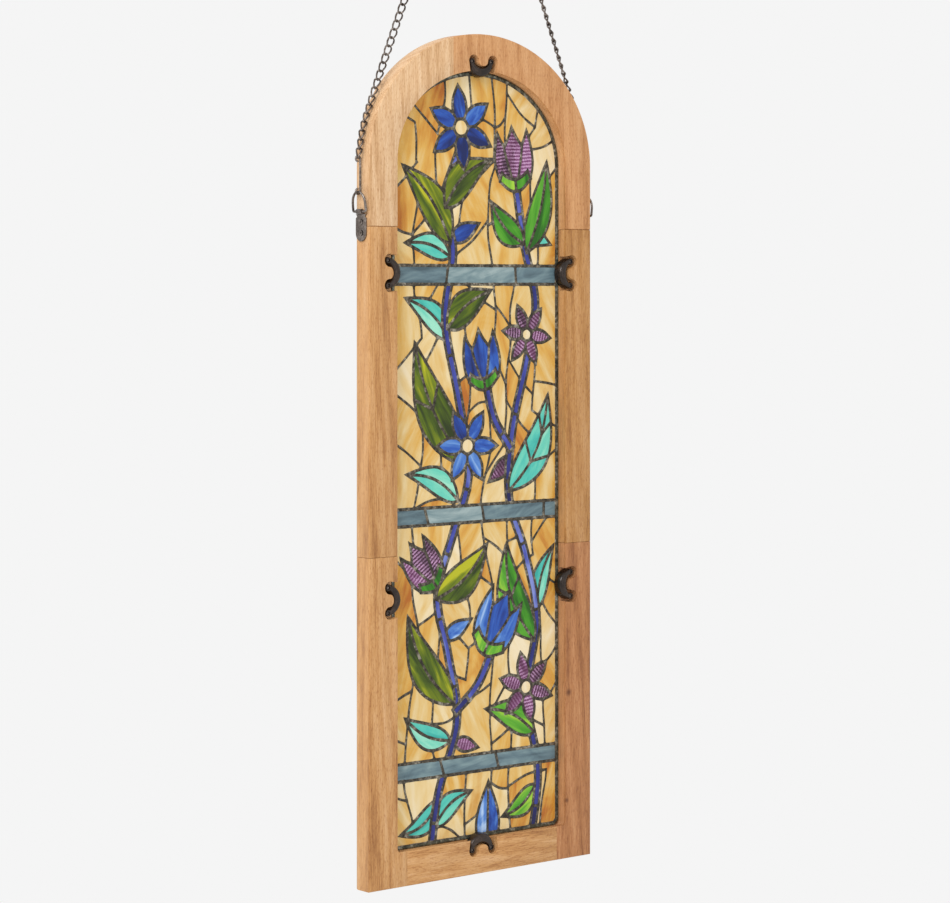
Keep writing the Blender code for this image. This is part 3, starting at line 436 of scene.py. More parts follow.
WOOD_PALE = ("b58a5c", "cda478", "d8b389", "e2c19b")
WOOD_TAN = ("9c6a3a", "b98650", "c4945f", "cfa374")
WOOD_BROWN = ("8c5c30", "a9773f", "b6854f", "c29563")
WOOD_RED = ("7d4a28", "9f6a3f", "ad764a", "bb885c")
CLIP = dark_steel("dark_clip_finish", ("1d1510", "2e231c", "4a3b31"), (0.2, 0.36), 0.35, 260.0, 0.1)
STEEL = dark_steel("gunmetal_finish", ("4a423d", "766c65", "a59b93"), (0.22, 0.4), 0.95)
SOLDER = solder_finish("patinated_solder", ("312d27", "4e483e", "6e675a", "9a9486"), 0.66)
CAME = solder_finish("border_came", ("34362c", "55574a", "74766a", "a2a498"), 0.70)
GLASS = {
    "amber": streaky_glass(
        "amber_opal",
        [(0.30, "ac6420"), (0.39, "c68c38"), (0.48, "d2a450"), (0.58, "d8b878"), (0.70, "e1cc9e")],
        swirl=0.9, tone=0.24, streaks=0.8),
    "cream": streaky_glass(
        "cream_opal", [(0.28, "c69244"), (0.40, "d8b674"), (0.52, "dfc794"), (0.68, "e5d5b3")],
        swirl=0.9, tone=0.2, streaks=0.8),
    "slate": streaky_glass(
        "slate_opal", [(0.3, "45575f"), (0.45, "5f757d"), (0.56, "748a8e"), (0.7, "97a8a8")],
        swirl=2.2, tone=0.25),
    "blue": streaky_glass(
        "blue_opal",
        [(0.30, "122055"), (0.43, "1c3b8a"), (0.54, "2a56ac"), (0.64, "5583c6"), (0.76, "a9c4e6")],
        swirl=2.0, tone=0.3),
    "purple": streaky_glass(
        "purple_ripple", [(0.3, "2c0f24"), (0.5, "552146"), (0.68, "78406e")], ripple="c79cc2"),
    "olive": streaky_glass(
        "olive_streaky", [(0.34, "26330a"), (0.44, "465a0a"), (0.54, "6e7c0c"), (0.64, "b0b01c")],
        swirl=0.6, tone=0.22, streaks=1.3),
    "green": streaky_glass(
        "green_streaky", [(0.32, "1f5a0c"), (0.45, "3d8a18"), (0.57, "5aa22a"), (0.7, "9cc63a")],
        swirl=0.7, tone=0.3, streaks=1.2),
    "turquoise": streaky_glass(
        "turquoise_opal", [(0.3, "30a096"), (0.44, "4db9aa"), (0.57, "6cc8b0"), (0.7, "98d8be")],
        swirl=1.6, tone=0.3),
    "indigo": streaky_glass(
        "indigo_streaky", [(0.3, "1a1c50"), (0.45, "2d3380"), (0.57, "434ca0"), (0.72, "7d8ac8")],
        swirl=1.0, tone=0.3),
}


# Wooden frame


def arched_block(half_width, rise, foot, front, back):
    """A board's thickness of an arched outline with a flat foot."""
    at_rest()
    bpy.ops.mesh.primitive_circle_add(vertices=176, radius=1, fill_type="NGON", location=(0, front, SPRING),
                                      rotation=(math.pi / 2, 0, 0))
    piece = bpy.context.object
    piece.scale = (half_width, rise, 1)
    settled(piece)
    bpy.ops.object.mode_set(mode="EDIT")
    bpy.ops.mesh.select_all(action="SELECT")
    bpy.ops.mesh.bisect(plane_co=(0, front, SPRING), plane_no=(0, 0, 1), clear_inner=True)
    picked(piece, "EDGE", lambda ends: all(abs(c.z - SPRING) < 1e-6 for c in ends))
    bpy.ops.mesh.extrude_edges_move(TRANSFORM_OT_translate={"value": (0, 0, foot - SPRING)})
    bpy.ops.mesh.select_all(action="SELECT")
    bpy.ops.mesh.dissolve_limited(angle_limit=math.radians(0.1))
    bpy.ops.mesh.select_all(action="SELECT")
    bpy.ops.mesh.extrude_region_move(TRANSFORM_OT_translate={"value": (0, back - front, 0)})
    at_rest()
    return facing_out(piece)


def on_rim(ends):
    """Whether a long outer edge of the frame runs through both ends."""
    if all(abs(c.z) < 1e-5 for c in ends):
        return True
    for c in ends:
        if c.z < SPRING:
            off = abs(abs(c.x) - FRAME_WIDTH / 2)
        else:
            off = abs(math.hypot(c.x / (FRAME_WIDTH / 2), (c.z - SPRING) / ARCH_RISE) - 1) * ARCH_RISE
        if off > 2e-5:
            return False
    return True


def rounded_arrises(piece):
    """The board with its long outer edges rounded, a little in front and well behind."""
    for depth, radius, segments in ((FRONT, FRONT_EASE, 3), (-FRONT, BACK_EASE, 6)):
        picked(piece, "EDGE", lambda ends: all(abs(c.y - depth) < 1e-5 for c in ends) and on_rim(ends))
        bpy.ops.mesh.bevel(offset=radius, segments=segments, profile=0.5, affect="EDGES")
        at_rest()


def rebate_tool():
    """What the opening takes out of the boards in front of the ledge, its two lower corners rounded."""
    tool = arched_block(OPENING_HALF, OPENING_RISE, RAIL_FACE, FRONT - 0.002, LEDGE_FRONT)

    def at_corner(ends):
        return all(abs(c.z - RAIL_FACE) < 1e-6 and abs(abs(c.x) - OPENING_HALF) < 1e-6 for c in ends)

    picked(tool, "EDGE", at_corner)
    bpy.ops.mesh.bevel(offset=CORNER_RADIUS, segments=7, profile=0.5, affect="EDGES")
    at_rest()
    return tool


UPPER_CLIP_HEIGHT = 0.705
LOWER_CLIP_HEIGHT = 0.330
CLIP_PLACES = {
    "top": ((0, SPRING + OPENING_RISE), 0),
    "bottom": ((0, RAIL_FACE), math.pi),
    "left_upper": ((-OPENING_HALF, UPPER_CLIP_HEIGHT), math.pi / 2),
    "left_lower": ((-OPENING_HALF, LOWER_CLIP_HEIGHT), math.pi / 2),
    "right_upper": ((OPENING_HALF, UPPER_CLIP_HEIGHT), -math.pi / 2),
    "right_lower": ((OPENING_HALF, LOWER_CLIP_HEIGHT), -math.pi / 2),
}
CLIP_RADIUS = 0.0184
CLIP_REACH = 0.0075
CLIP_WAIST = 0.012
CLIP_HORN = 0.0078
HORN_X = CLIP_RADIUS - CLIP_HORN / 2
HORN_UP = CLIP_RADIUS - CLIP_REACH
POCKET_END = CLIP_HORN / 2 + 0.0036
POCKET_DEPTH = 0.012
POCKET_TAPER = 0.003
TONGUE_ROOM = 0.001


def placed(piece, key, depth=0.0):
    """The piece, made at the foot of an arch, moved to one clip's place on the opening's edge."""
    (x, z), turn = CLIP_PLACES[key]
    piece.data.transform(Matrix.Translation((x, depth, z)) @ Matrix.Rotation(-turn, 4, "Y"))
    return piece


def pocket_tool():
    """A pocket's shape: round ends cut with a router, open to the panel, a tongue of wood left between."""
    outline = []
    for side in (-1, 1):
        turns = [math.pi * k / 18 for k in range(19)]
        outline += [(side * HORN_X - POCKET_END * math.cos(t), HORN_UP + POCKET_END * math.sin(t))
                    for t in turns]
        if side < 0:
            half, length = HORN_X - POCKET_END, HORN_UP - (CLIP_WAIST - CLIP_REACH + TONGUE_ROOM)
            outline += [(-half * math.cos(t), HORN_UP - length * math.sin(t)) for t in turns[1:-1]]
    wide = HORN_X + POCKET_END - POCKET_TAPER
    outline += [(wide, -CLIP_REACH), (-wide, -CLIP_REACH)]
    count = len(outline)
    corners = [(x, y, z) for y in (FRONT - 0.002, FRONT + POCKET_DEPTH) for x, z in outline]
    faces = [tuple(range(count)), tuple(range(2 * count - 1, count - 1, -1))]
    faces += [(k, k + count, (k + 1) % count + count, (k + 1) % count) for k in range(count)]
    return facing_out(piece_of("pocket", corners, faces))


def on_joint(ends):
    """Whether an edge lies where boards meet or under the frame, and so stays sharp."""
    flat = all(min(abs(c.z - HEAD_JOINT), abs(c.z - STILE_JOINT)) < 2e-4 for c in ends)
    side = all(abs(abs(c.x) - (OPENING_HALF - LEDGE)) < 4e-4 for c in ends)
    low = all(c.z < 1e-4 for c in ends)
    return flat or (side and all(c.z < RAIL_FACE + LEDGE + 0.001 for c in ends)) or low


def board(name, solid, finish, key, bores=()):
    """One board of the frame, with its rebate, one clip's pocket, screw bores and eased edges."""
    cut(solid, rebate_tool())
    cut(solid, placed(pocket_tool(), key))
    for x, height in bores:
        cut(solid, rod((x, 0, height), SCREW_BORE, 0.028, ALONG_X, 12))
    facing_out(solid)
    softened(solid, 0.0009, on_joint)
    solid.name = name + "_board"
    smoothed(solid, 35)
    return fitted(solid, finish, [name])


def frame_boards():
    outer = FRAME_WIDTH / 2
    inner = OPENING_HALF - LEDGE
    lower_screw = PLATE_FOOT + PLATE_WIDTH / 2
    head = arched_block(outer, ARCH_RISE, HEAD_JOINT + SEAM, FRONT, -FRONT)
    rounded_arrises(head)
    cut(head, arched_block(inner, OPENING_RISE - LEDGE, HEAD_JOINT - 0.01, FRONT - 0.01, 0.01 - FRONT))
    head_bores = [(side * outer, lower_screw + SCREW_PITCH) for side in (-1, 1)]
    wood = grain_wood("pale_wood", WOOD_PALE, "Z", (0.3, 0.1, 0.2), 0.8, strips=(-0.046, "e6c39a"))
    board("arched_head", head, wood, "top", head_bores)
    tones = {
        "left_lower": WOOD_TAN,
        "left_upper": WOOD_TAN,
        "right_lower": WOOD_RED,
        "right_upper": WOOD_BROWN,
    }
    knots = {
        "right_lower": [((0.134, -0.014, 0.200 + FOOT), 0.0045), ((0.131, -0.013, 0.07 + FOOT), 0.003)],
    }
    for k, (key, tone) in enumerate(tones.items()):
        side, part = key.split("_")
        sign = -1 if side == "left" else 1
        low, high = (0, STILE_JOINT - SEAM) if part == "lower" else (STILE_JOINT + SEAM, HEAD_JOINT - SEAM)
        near, far = sorted((sign * inner, sign * outer))
        stile = block((near, FRONT, low), (far, -FRONT, high))
        rounded_arrises(stile)
        shift = (1.7 * k + 0.4, 0.3 * k, 0.9 * k)
        wood = grain_wood(f"{key}_wood", tone, "Z", shift, 1.0, knots.get(key, ()))
        bores = [(sign * outer, lower_screw)] if part == "upper" else []
        board(f"stile_{key}", stile, wood, key, bores)
    half = inner - SEAM
    rail = block((-half, FRONT, 0), (half, -FRONT, RAIL_FACE + LEDGE))
    rounded_arrises(rail)
    wood = grain_wood("rail_wood", WOOD_TAN, "X", (5.1, 0.7, 2.2), 2.2)
    board("bottom_rail", rail, wood, "bottom")


# Crescent clips


def clip_solid():
    """A half-round crescent, high in the middle and lower at its round horns."""
    horn_angle = math.radians(85)
    horn = Vector((CLIP_RADIUS * math.sin(horn_angle), HORN_UP - CLIP_RADIUS * math.cos(horn_angle)))
    chord = horn.x - CLIP_HORN
    waist = CLIP_WAIST - CLIP_REACH
    rise = horn.y - waist
    inner_radius = (chord ** 2 + rise ** 2) / (2 * rise)
    inner_angle = math.asin(chord / inner_radius)
    stations = []
    for k in range(-14, 15):
        t, u = k / 14 * horn_angle, k / 14 * inner_angle
        outer = Vector((CLIP_RADIUS * math.sin(t), HORN_UP - CLIP_RADIUS * math.cos(t)))
        inner = Vector((inner_radius * math.sin(u), waist + inner_radius - inner_radius * math.cos(u)))
        stations.append((outer, inner, 0.0091 + 0.0018 * math.cos(k / 14 * math.pi / 2) ** 1.2))
    for end, past in ((0, -1), (-1, 1)):
        outer, inner, height = stations[end]
        middle, half = (outer + inner) / 2, (outer - inner) / 2
        ahead = Vector((-half.y, half.x))
        ahead = ahead if ahead.y > 0 else -ahead
        for turn in (20, 40, 60, 76, 86):
            t = math.radians(turn)
            shift = middle + ahead * math.sin(t)
            low = height * (0.3 + 0.7 * math.cos(t) ** 0.5)
            station = (shift + half * math.cos(t), shift - half * math.cos(t), low)
            stations.insert(0 if past < 0 else len(stations), station)
    section = []
    for k in range(15):
        t = math.pi * k / 14
        section.append((0.5 - 0.5 * math.copysign(abs(math.cos(t)) ** 0.7, math.cos(t)), math.sin(t) ** 0.55))
    corners, faces = [], []
    for outer, inner, height in stations:
        for across, up in section:
            spot = outer.lerp(inner, across)
            corners.append((spot.x, -up * height, spot.y))
    count = len(section)
    for row in range(len(stations) - 1):
        for k in range(count):
            a, b = row * count + k, row * count + (k + 1) % count
            faces.append((a, b, b + count, a + count))
    faces.append(tuple(range(count)))
    faces.append(tuple(range(len(corners) - count, len(corners))))
    return facing_out(piece_of("clip", corners, faces))


def clips():
    """The six clips, each with a round knob at both horns and a small screw sunk in it."""
    model = clip_solid()
    top, foot, sunk = 0.0091, 0.0008, 0.0016
    for side in (-1, 1):
        middle = (side * HORN_X, -(top + foot) / 2, HORN_UP)
        knob = rod(middle, CLIP_HORN / 2 - 0.0001, top - foot, ALONG_Y, 40)
        softened(knob, 0.0011, lambda ends: all(end.y > -top / 2 for end in ends))
        cut(model, knob, "UNION")
        cut(model, rod((side * HORN_X, -top, HORN_UP), 0.0015, 0.0036, ALONG_Y, 28, 0.0024))
    smoothed(model, 45)
    screw = rod((0, 0, 0), 0.0014, 0.0009, ALONG_Y, 20)
    softened(screw, 0.0003)
    for turn in (0, math.pi / 2):
        slot = block((-0.001, -0.002, -0.0002), (0.001, -0.0002, 0.0002))
        slot.data.transform(Matrix.Rotation(turn + 0.4, 4, "Y"))
        cut(screw, slot)
    smoothed(screw, 40)
    for key in CLIP_PLACES:
        clip = placed(copied(model, f"clip_{key}"), key, PANEL_FRONT - GAP)
        heads = []
        for side in (-1, 1):
            head = copied(screw, "head", Matrix.Translation((side * HORN_X, -top + sunk, HORN_UP)))
            heads.append(placed(head, key, PANEL_FRONT - GAP))
        fitted(clip, CLIP, [f"panel_clip_{key}"])
        fitted(joined(f"clip_screws_{key}", heads), STEEL, [])
    for made in (model, screw):
        bpy.data.objects.remove(made, do_unlink=True)


# Picture in the glass, drawn in metres from the middle of the panel's foot


def smooth(points, step):
    """A curve through the points, read at every step or so."""
    knots = [Vector(p) for p in points]
    knots = [knots[0] * 2 - knots[1]] + knots + [knots[-1] * 2 - knots[-2]]
    line = [knots[1]]
    for a, b, c, d in zip(knots, knots[1:], knots[2:], knots[3:]):
        count = max(1, round((c - b).length / step))
        for k in range(1, count + 1):
            t = k / count
            line.append(0.5 * (2 * b + (c - a) * t + (2 * a - 5 * b + 4 * c - d) * t ** 2
                               + (3 * b - a - 3 * c + d) * t ** 3))
    return line


def strokes(runs):
    """A closed outline from curved strokes, each from one corner to the next."""
    outline = []
    for run in runs:
        outline += smooth(run, 0.004)[:-1]
    return outline


def turned(points, centre, angle):
    c, s = math.cos(angle), math.sin(angle)
    return [Vector((p[0] * c - p[1] * s + centre[0], p[0] * s + p[1] * c + centre[1])) for p in points]


def mirrored(runs, size):
    """The strokes of a shape's right half and of its left one, at the shape's size."""
    left = [[(-x, y) for x, y in run[::-1]] for run in runs[::-1]]
    return [[Vector(p) * size for p in run] for run in runs + left]


def leaf_line(foot, tip, width, bow, side):
    """The leaf's edge on one side of its middle, or its midrib where the side is 0."""
    foot, tip = Vector(foot), Vector(tip)
    run = tip - foot
    aside = Vector((-run.y, run.x))
    line = []
    for k in range(15):
        t = k / 14
        swell = side * width / 2 * math.sin(math.pi * t ** 0.75)
        line.append(foot + run * t + aside * bow * math.sin(math.pi * t) + aside.normalized() * swell)
    return line


class Picture:
    """The drawing from back to front, and the cuts inside each shape."""

    def __init__(self, panel):
        self.shapes = [{"colour": "amber", "outline": panel, "flow": None}]
        self.cuts = []

    def lay(self, colour, outline, flow=None, lines=()):
        self.shapes.append({"colour": colour, "outline": outline, "flow": flow})
        self.cuts += [(len(self.shapes) - 1, line) for line in lines]

    def leaf(self, colour, foot, tip, width, bow=0.0, parts=1):
        right, middle, left = (leaf_line(foot, tip, width, bow, side) for side in (-1, 0, 1))
        lines = []
        if parts > 1:
            before = middle[0] * 2 - middle[1]
            lines.append([before] + middle + [middle[-1] * 2 - middle[-2]])
        for share in {4: (7,), 6: (5, 9)}.get(parts, ()):
            for edge in (right, left):
                rib, rim = middle[share], edge[share + 2]
                lines.append([rib, rib.lerp(rim, 0.5), rim.lerp(rib, -0.3)])
        angle = math.atan2(*(Vector(tip) - Vector(foot)).yx)
        self.lay(colour, right[:-1] + left[:0:-1], angle, lines)

    def stem(self, points, width, spacing):
        line = smooth(points, 0.006)
        sides = ([], [])
        marks, walked = [], spacing * 0.6
        for k, point in enumerate(line):
            run = (line[min(k + 1, len(line) - 1)] - line[max(k - 1, 0)]).normalized()
            across = Vector((run.y, -run.x)) * width / 2
            sides[0].append(point + across)
            sides[1].append(point - across)
            if k:
                walked += (point - line[k - 1]).length
            if walked > spacing:
                walked = 0
                marks.append([point + across * 1.4, point - across * 1.4])
        self.lay("indigo", sides[0] + sides[1][::-1], "long", marks)

    def lily(self, colour, heart, centre, angle, radius):
        petals = 6
        runs, lines = [], []
        step = 2 * math.pi / petals

        def spot(share, reach, k):
            t = step * (k + share)
            return Vector((math.cos(t), math.sin(t))) * radius * reach

        for k in range(petals):
            runs.append([spot(0, 0.42, k), spot(0.20, 0.66, k), spot(0.33, 0.80, k), spot(0.5, 1.0, k)])
            runs.append([spot(0.5, 1.0, k), spot(0.67, 0.80, k), spot(0.80, 0.66, k), spot(1, 0.42, k)])
            lines.append(turned([spot(0, 0.02, k), spot(0, 0.48, k)], centre, angle))
        self.lay(colour, turned(strokes(runs), centre, angle), Vector(centre), lines)
        turns = [math.pi * k / 8 for k in range(16)]
        disc = [Vector((math.cos(t), math.sin(t))) * radius * 0.22 for t in turns]
        self.lay(heart, turned(disc, centre, angle))

    def tulip(self, colour, centre, angle, size):
        half = [[(0.0, -0.52), (0.13, -0.50), (0.33, -0.34), (0.42, -0.08), (0.40, 0.22), (0.33, 0.50)],
                [(0.33, 0.50), (0.27, 0.35), (0.19, 0.24)], [(0.19, 0.24), (0.08, 0.40), (0.0, 0.56)]]
        bloom = turned(strokes(mirrored(half, size)), centre, angle)
        lines = []
        for side in (-1, 1):
            vein = [(0.21, 0.28), (0.17, 0.05), (0.10, -0.2), (0.0, -0.55)]
            line = smooth([Vector((side * x, y)) * size for x, y in vein], 0.005)
            lines.append(turned(line, centre, angle))
        self.lay(colour, bloom, angle + math.pi / 2, lines)
        cup = [[(0.0, -0.53), (0.13, -0.515), (0.35, -0.34)], [(0.35, -0.34), (0.30, -0.24), (0.29, -0.20)],
               [(0.29, -0.20), (0.15, -0.30), (0.0, -0.33)]]
        parting = turned([Vector((0, -0.6)) * size, Vector((0, -0.2)) * size], centre, angle)
        self.lay("green", turned(strokes(mirrored(cup, size)), centre, angle), angle + math.pi / 2, [parting])

    def bar(self, low, high, chance):
        lines = []
        x = -0.128 + chance.uniform(0.05, 0.10)
        while x < 0.11:
            lean = chance.uniform(-0.004, 0.004)
            lines.append([Vector((x - lean, low - 0.002)), Vector((x + lean, high + 0.002))])
            x += chance.uniform(0.075, 0.110)
        wide = 0.14
        corners = [Vector(p) for p in ((-wide, low), (wide, low), (wide, high), (-wide, high))]
        self.lay("slate", corners, 0.15, lines)

    def flowing_ground(self, chance):
        """Long wandering lines from foot to crown, and slanting bowed ones across between them."""
        column_gap, row_gap = 0.0366, 0.0105
        columns = []
        for k in range(8):
            line = []
            for row in range(90):
                y = -0.02 + row * row_gap
                drift = noise.noise(Vector((k * 7.3, y * 6.5, 2.0))) * 0.026
                drift += noise.noise(Vector((k * 3.1, y * 19, 5.0))) * 0.007
                line.append(Vector((-0.128 + column_gap * k + drift, y)))
            columns.append(line)
        for line in columns[1:-1]:
            self.cuts.append((0, line))
        for left, right in zip(columns, columns[1:]):
            row = chance.uniform(0, 4)
            while row < 88:
                slant = chance.choice((-1, 1)) * chance.uniform(0.4, 2.2)
                ends = []
                for side, place in ((left, row - slant), (right, row + slant)):
                    place = min(max(place, 0), 88)
                    ends.append(side[int(place)].lerp(side[int(place) + 1], place % 1))
                bow = Vector((0, chance.uniform(-0.006, 0.006)))
                span = ends[1] - ends[0]
                over = span * 0.06
                way = [ends[0] - over, ends[0], ends[0] + span * 0.5 + bow, ends[1], ends[1] + over]
                self.cuts.append((0, smooth(way, 0.006)))
                row += chance.uniform(3.8, 7.6)


def arched_outline(inset):
    """The panel's outline, moved in by the inset, its two foot corners clipped."""
    clipped, steps, room = 0.0042, 64, 0.001
    half, rise, top = OPENING_HALF - room - inset, OPENING_RISE - room - inset, SPRING - SILL
    low = inset + clipped
    foot = [(-half, low), (clipped - half, inset), (half - clipped, inset), (half, low)]
    turns = [math.pi * k / steps for k in range(steps + 1)]
    arch = [(half * math.cos(t), top + rise * math.sin(t)) for t in turns]
    return [Vector(p) for p in foot + arch]


CAME_OUT = 0.0031


def drawn():
    chance = random.Random(7)
    picture = Picture(arched_outline(CAME_OUT))
    picture.flowing_ground(chance)
    for colour, foot, tip, width, bow, parts in (
            ("turquoise", (-0.058, 0.050), (-0.116, 0.016), 0.026, 0.15, 2),
            ("turquoise", (-0.064, 0.020), (-0.008, 0.056), 0.028, 0.12, 2),
            ("green", (0.092, 0.052), (0.040, 0.020), 0.028, 0.12, 2),
            ("blue", (0.016, -0.020), (0.018, 0.064), 0.036, 0.0, 2),
            ("turquoise", (-0.040, 0.118), (-0.108, 0.150), 0.030, 0.10, 2),
            ("purple", (-0.034, 0.116), (0.002, 0.106), 0.018, 0.0, 1),
            ("turquoise", (0.094, 0.262), (0.121, 0.338), 0.026, 0.08, 2),
            ("blue", (-0.050, 0.238), (-0.008, 0.258), 0.020, 0.0, 1),
            ("turquoise", (-0.028, 0.398), (-0.106, 0.432), 0.032, -0.12, 2),
            ("turquoise", (-0.042, 0.588), (-0.108, 0.636), 0.032, -0.10, 2),
            ("purple", (0.056, 0.446), (0.018, 0.418), 0.021, 0.0, 1),
            ("turquoise", (-0.040, 0.684), (-0.108, 0.700), 0.028, -0.10, 2),
            ("blue", (-0.040, 0.704), (0.004, 0.724), 0.022, 0.0, 1),
            ("turquoise", (0.064, 0.720), (0.116, 0.700), 0.024, 0.0, 1),
    ):
        picture.leaf(colour, foot, tip, width, bow, parts)
    left = [(-0.070, -0.01), (-0.058, 0.06), (-0.030, 0.14), (-0.044, 0.22), (-0.060, 0.29), (-0.036, 0.36),
            (-0.012, 0.43), (-0.028, 0.52), (-0.048, 0.61), (-0.036, 0.69), (-0.050, 0.75), (-0.026, 0.81)]
    right = [(0.086, -0.01), (0.096, 0.07), (0.078, 0.16), (0.094, 0.25), (0.076, 0.33), (0.050, 0.40),
             (0.056, 0.48), (0.078, 0.56), (0.092, 0.63), (0.074, 0.70), (0.062, 0.765)]
    picture.stem(left, 0.0095, 0.078)
    picture.stem([(-0.034, 0.150), (0.000, 0.178), (0.022, 0.214)], 0.0095, 0.05)
    for foot, tip, width, bow, parts in (
            ((-0.034, 0.160), (-0.104, 0.268), 0.044, 0.10, 2),
            ((-0.062, 0.285), (0.016, 0.345), 0.042, -0.10, 2),
            ((-0.016, 0.440), (-0.094, 0.585), 0.052, 0.08, 4),
            ((-0.045, 0.600), (0.022, 0.645), 0.038, 0.08, 2),
            ((-0.040, 0.700), (-0.112, 0.790), 0.042, -0.08, 2),
            ((-0.048, 0.742), (0.022, 0.800), 0.040, 0.12, 2),
    ):
        picture.leaf("olive", foot, tip, width, bow, parts)
    picture.stem(right, 0.0095, 0.078)
    picture.stem([(0.054, 0.455), (0.026, 0.495), (0.012, 0.550)], 0.0095, 0.06)
    for foot, tip, width, bow, parts in (
            ((0.090, 0.115), (0.014, 0.150), 0.036, -0.10, 2),
            ((0.090, 0.225), (0.046, 0.345), 0.046, 0.12, 4),
            ((0.078, 0.690), (0.110, 0.800), 0.036, -0.06, 2),
            ((0.074, 0.700), (0.022, 0.750), 0.034, 0.10, 2),
    ):
        picture.leaf("green", foot, tip, width, bow, parts)
    for low, high in ((0.078, 0.098), (0.372, 0.392), (0.652, 0.674)):
        picture.bar(low, high, chance)
    picture.leaf("turquoise", (0.050, 0.406), (0.112, 0.520), 0.044, -0.12, 6)
    picture.lily("purple", "cream", (0.077, 0.170), 0.2, 0.043)
    picture.lily("blue", "cream", (-0.014, 0.462), 0.5, 0.046)
    picture.lily("blue", "amber", (-0.024, 0.836), 0.1, 0.050)
    picture.lily("purple", "cream", (0.078, 0.592), 0.4, 0.038)
    picture.tulip("blue", (0.030, 0.250), -0.5, 0.076)
    picture.tulip("purple", (-0.080, 0.324), 0.65, 0.062)
    picture.tulip("blue", (0.008, 0.562), 0.15, 0.066)
    picture.tulip("purple", (0.058, 0.800), 0.1, 0.070)
    return picture


# Parting the panel into its pieces of glass


# Areas in square metres: a smaller piece of the ground or of a shape joins its like, a sliver any neighbour
GROUND_LEAST = 0.00026
SHAPE_LEAST = 0.00008
SLIVER = 0.00003
LINE_STEP = 0.0036


def area(loop):
    return sum(a.x * b.y - b.x * a.y for a, b in zip(loop, loop[1:] + loop[:1])) / 2


def parted(picture):
    """The places, and for each piece of glass its shape's number and its loops of place numbers."""
    corners, faces, sides_in, owners_in = [], [], [], []
    for shape in picture.shapes:
        outline = shape["outline"] if area(shape["outline"]) > 0 else shape["outline"][::-1]
        faces.append(list(range(len(corners), len(corners) + len(outline))))
        corners += outline
    for owner, line in picture.cuts:
        for k in range(len(line) - 1):
            sides_in.append((len(corners) + k, len(corners) + k + 1))
            owners_in.append(owner)
        corners += line
    plan = delaunay_2d_cdt(corners, sides_in, faces, 1, 2e-6, True)
    places, sides_out, triangles, _, origins, owners = plan
    cut_by = {}
    for side, origin in zip(sides_out, origins):
        found = {owners_in[k] for k in origin if k < len(sides_in)}
        if found:
            cut_by[frozenset(side)] = found
    kept = [(tri, max(own)) for tri, own in zip(triangles, owners) if 0 in own]
    sides = {}
    for k, (tri, _) in enumerate(kept):
        for a, b in zip(tri, tri[1:] + tri[:1]):
            sides[(a, b)] = k
    parent = list(range(len(kept)))

    def root(k):
        while parent[k] != k:
            parent[k] = parent[parent[k]]
            k = parent[k]
        return k

    for (a, b), k in sides.items():
        other = sides.get((b, a))
        if other is None or kept[k][1] != kept[other][1]:
            continue
        if kept[k][1] not in cut_by.get(frozenset((a, b)), ()):
            parent[root(k)] = root(other)
    sizes = {}
    for k, (tri, _) in enumerate(kept):
        sizes[root(k)] = sizes.get(root(k), 0) + area([places[v] for v in tri])
    settled_ones = set()
    while True:
        small = [k for k, size in sizes.items() if size < GROUND_LEAST and k not in settled_ones]
        if not small:
            break
        least = min(small, key=sizes.get)
        tag = kept[least][1]
        shared = {}
        for (a, b), k in sides.items():
            other = sides.get((b, a))
            if root(k) == least and other is not None and root(other) != least:
                neighbour = root(other)
                alike = kept[neighbour][1] == tag
                if alike or sizes[least] < SLIVER:
                    length = (places[a] - places[b]).length * (3 if alike else 1)
                    shared[neighbour] = shared.get(neighbour, 0) + length
        if not shared or (tag != 0 and sizes[least] > SHAPE_LEAST):
            settled_ones.add(least)
            continue
        best = max(shared, key=shared.get)
        parent[least] = best
        sizes[best] += sizes.pop(least)
    borders = {}
    for (a, b), k in sides.items():
        other = sides.get((b, a))
        if other is None or root(other) != root(k):
            borders.setdefault(root(k), {}).setdefault(a, []).append(b)
    found = []
    for k, steps in borders.items():
        loops = []
        while steps:
            start = min(steps)
            loop, here = [], start
            while not loop or here != start:
                loop.append(here)
                onward = steps[here].pop()
                if not steps[here]:
                    del steps[here]
                here = onward
            loops.append(loop)
        loops.sort(key=lambda loop: area([places[v] for v in loop]), reverse=True)
        found.append((kept[k][1], loops))
    found.sort(key=lambda item: (min(places[v].y for v in item[1][0]), min(places[v].x for v in item[1][0])))
    return places, found


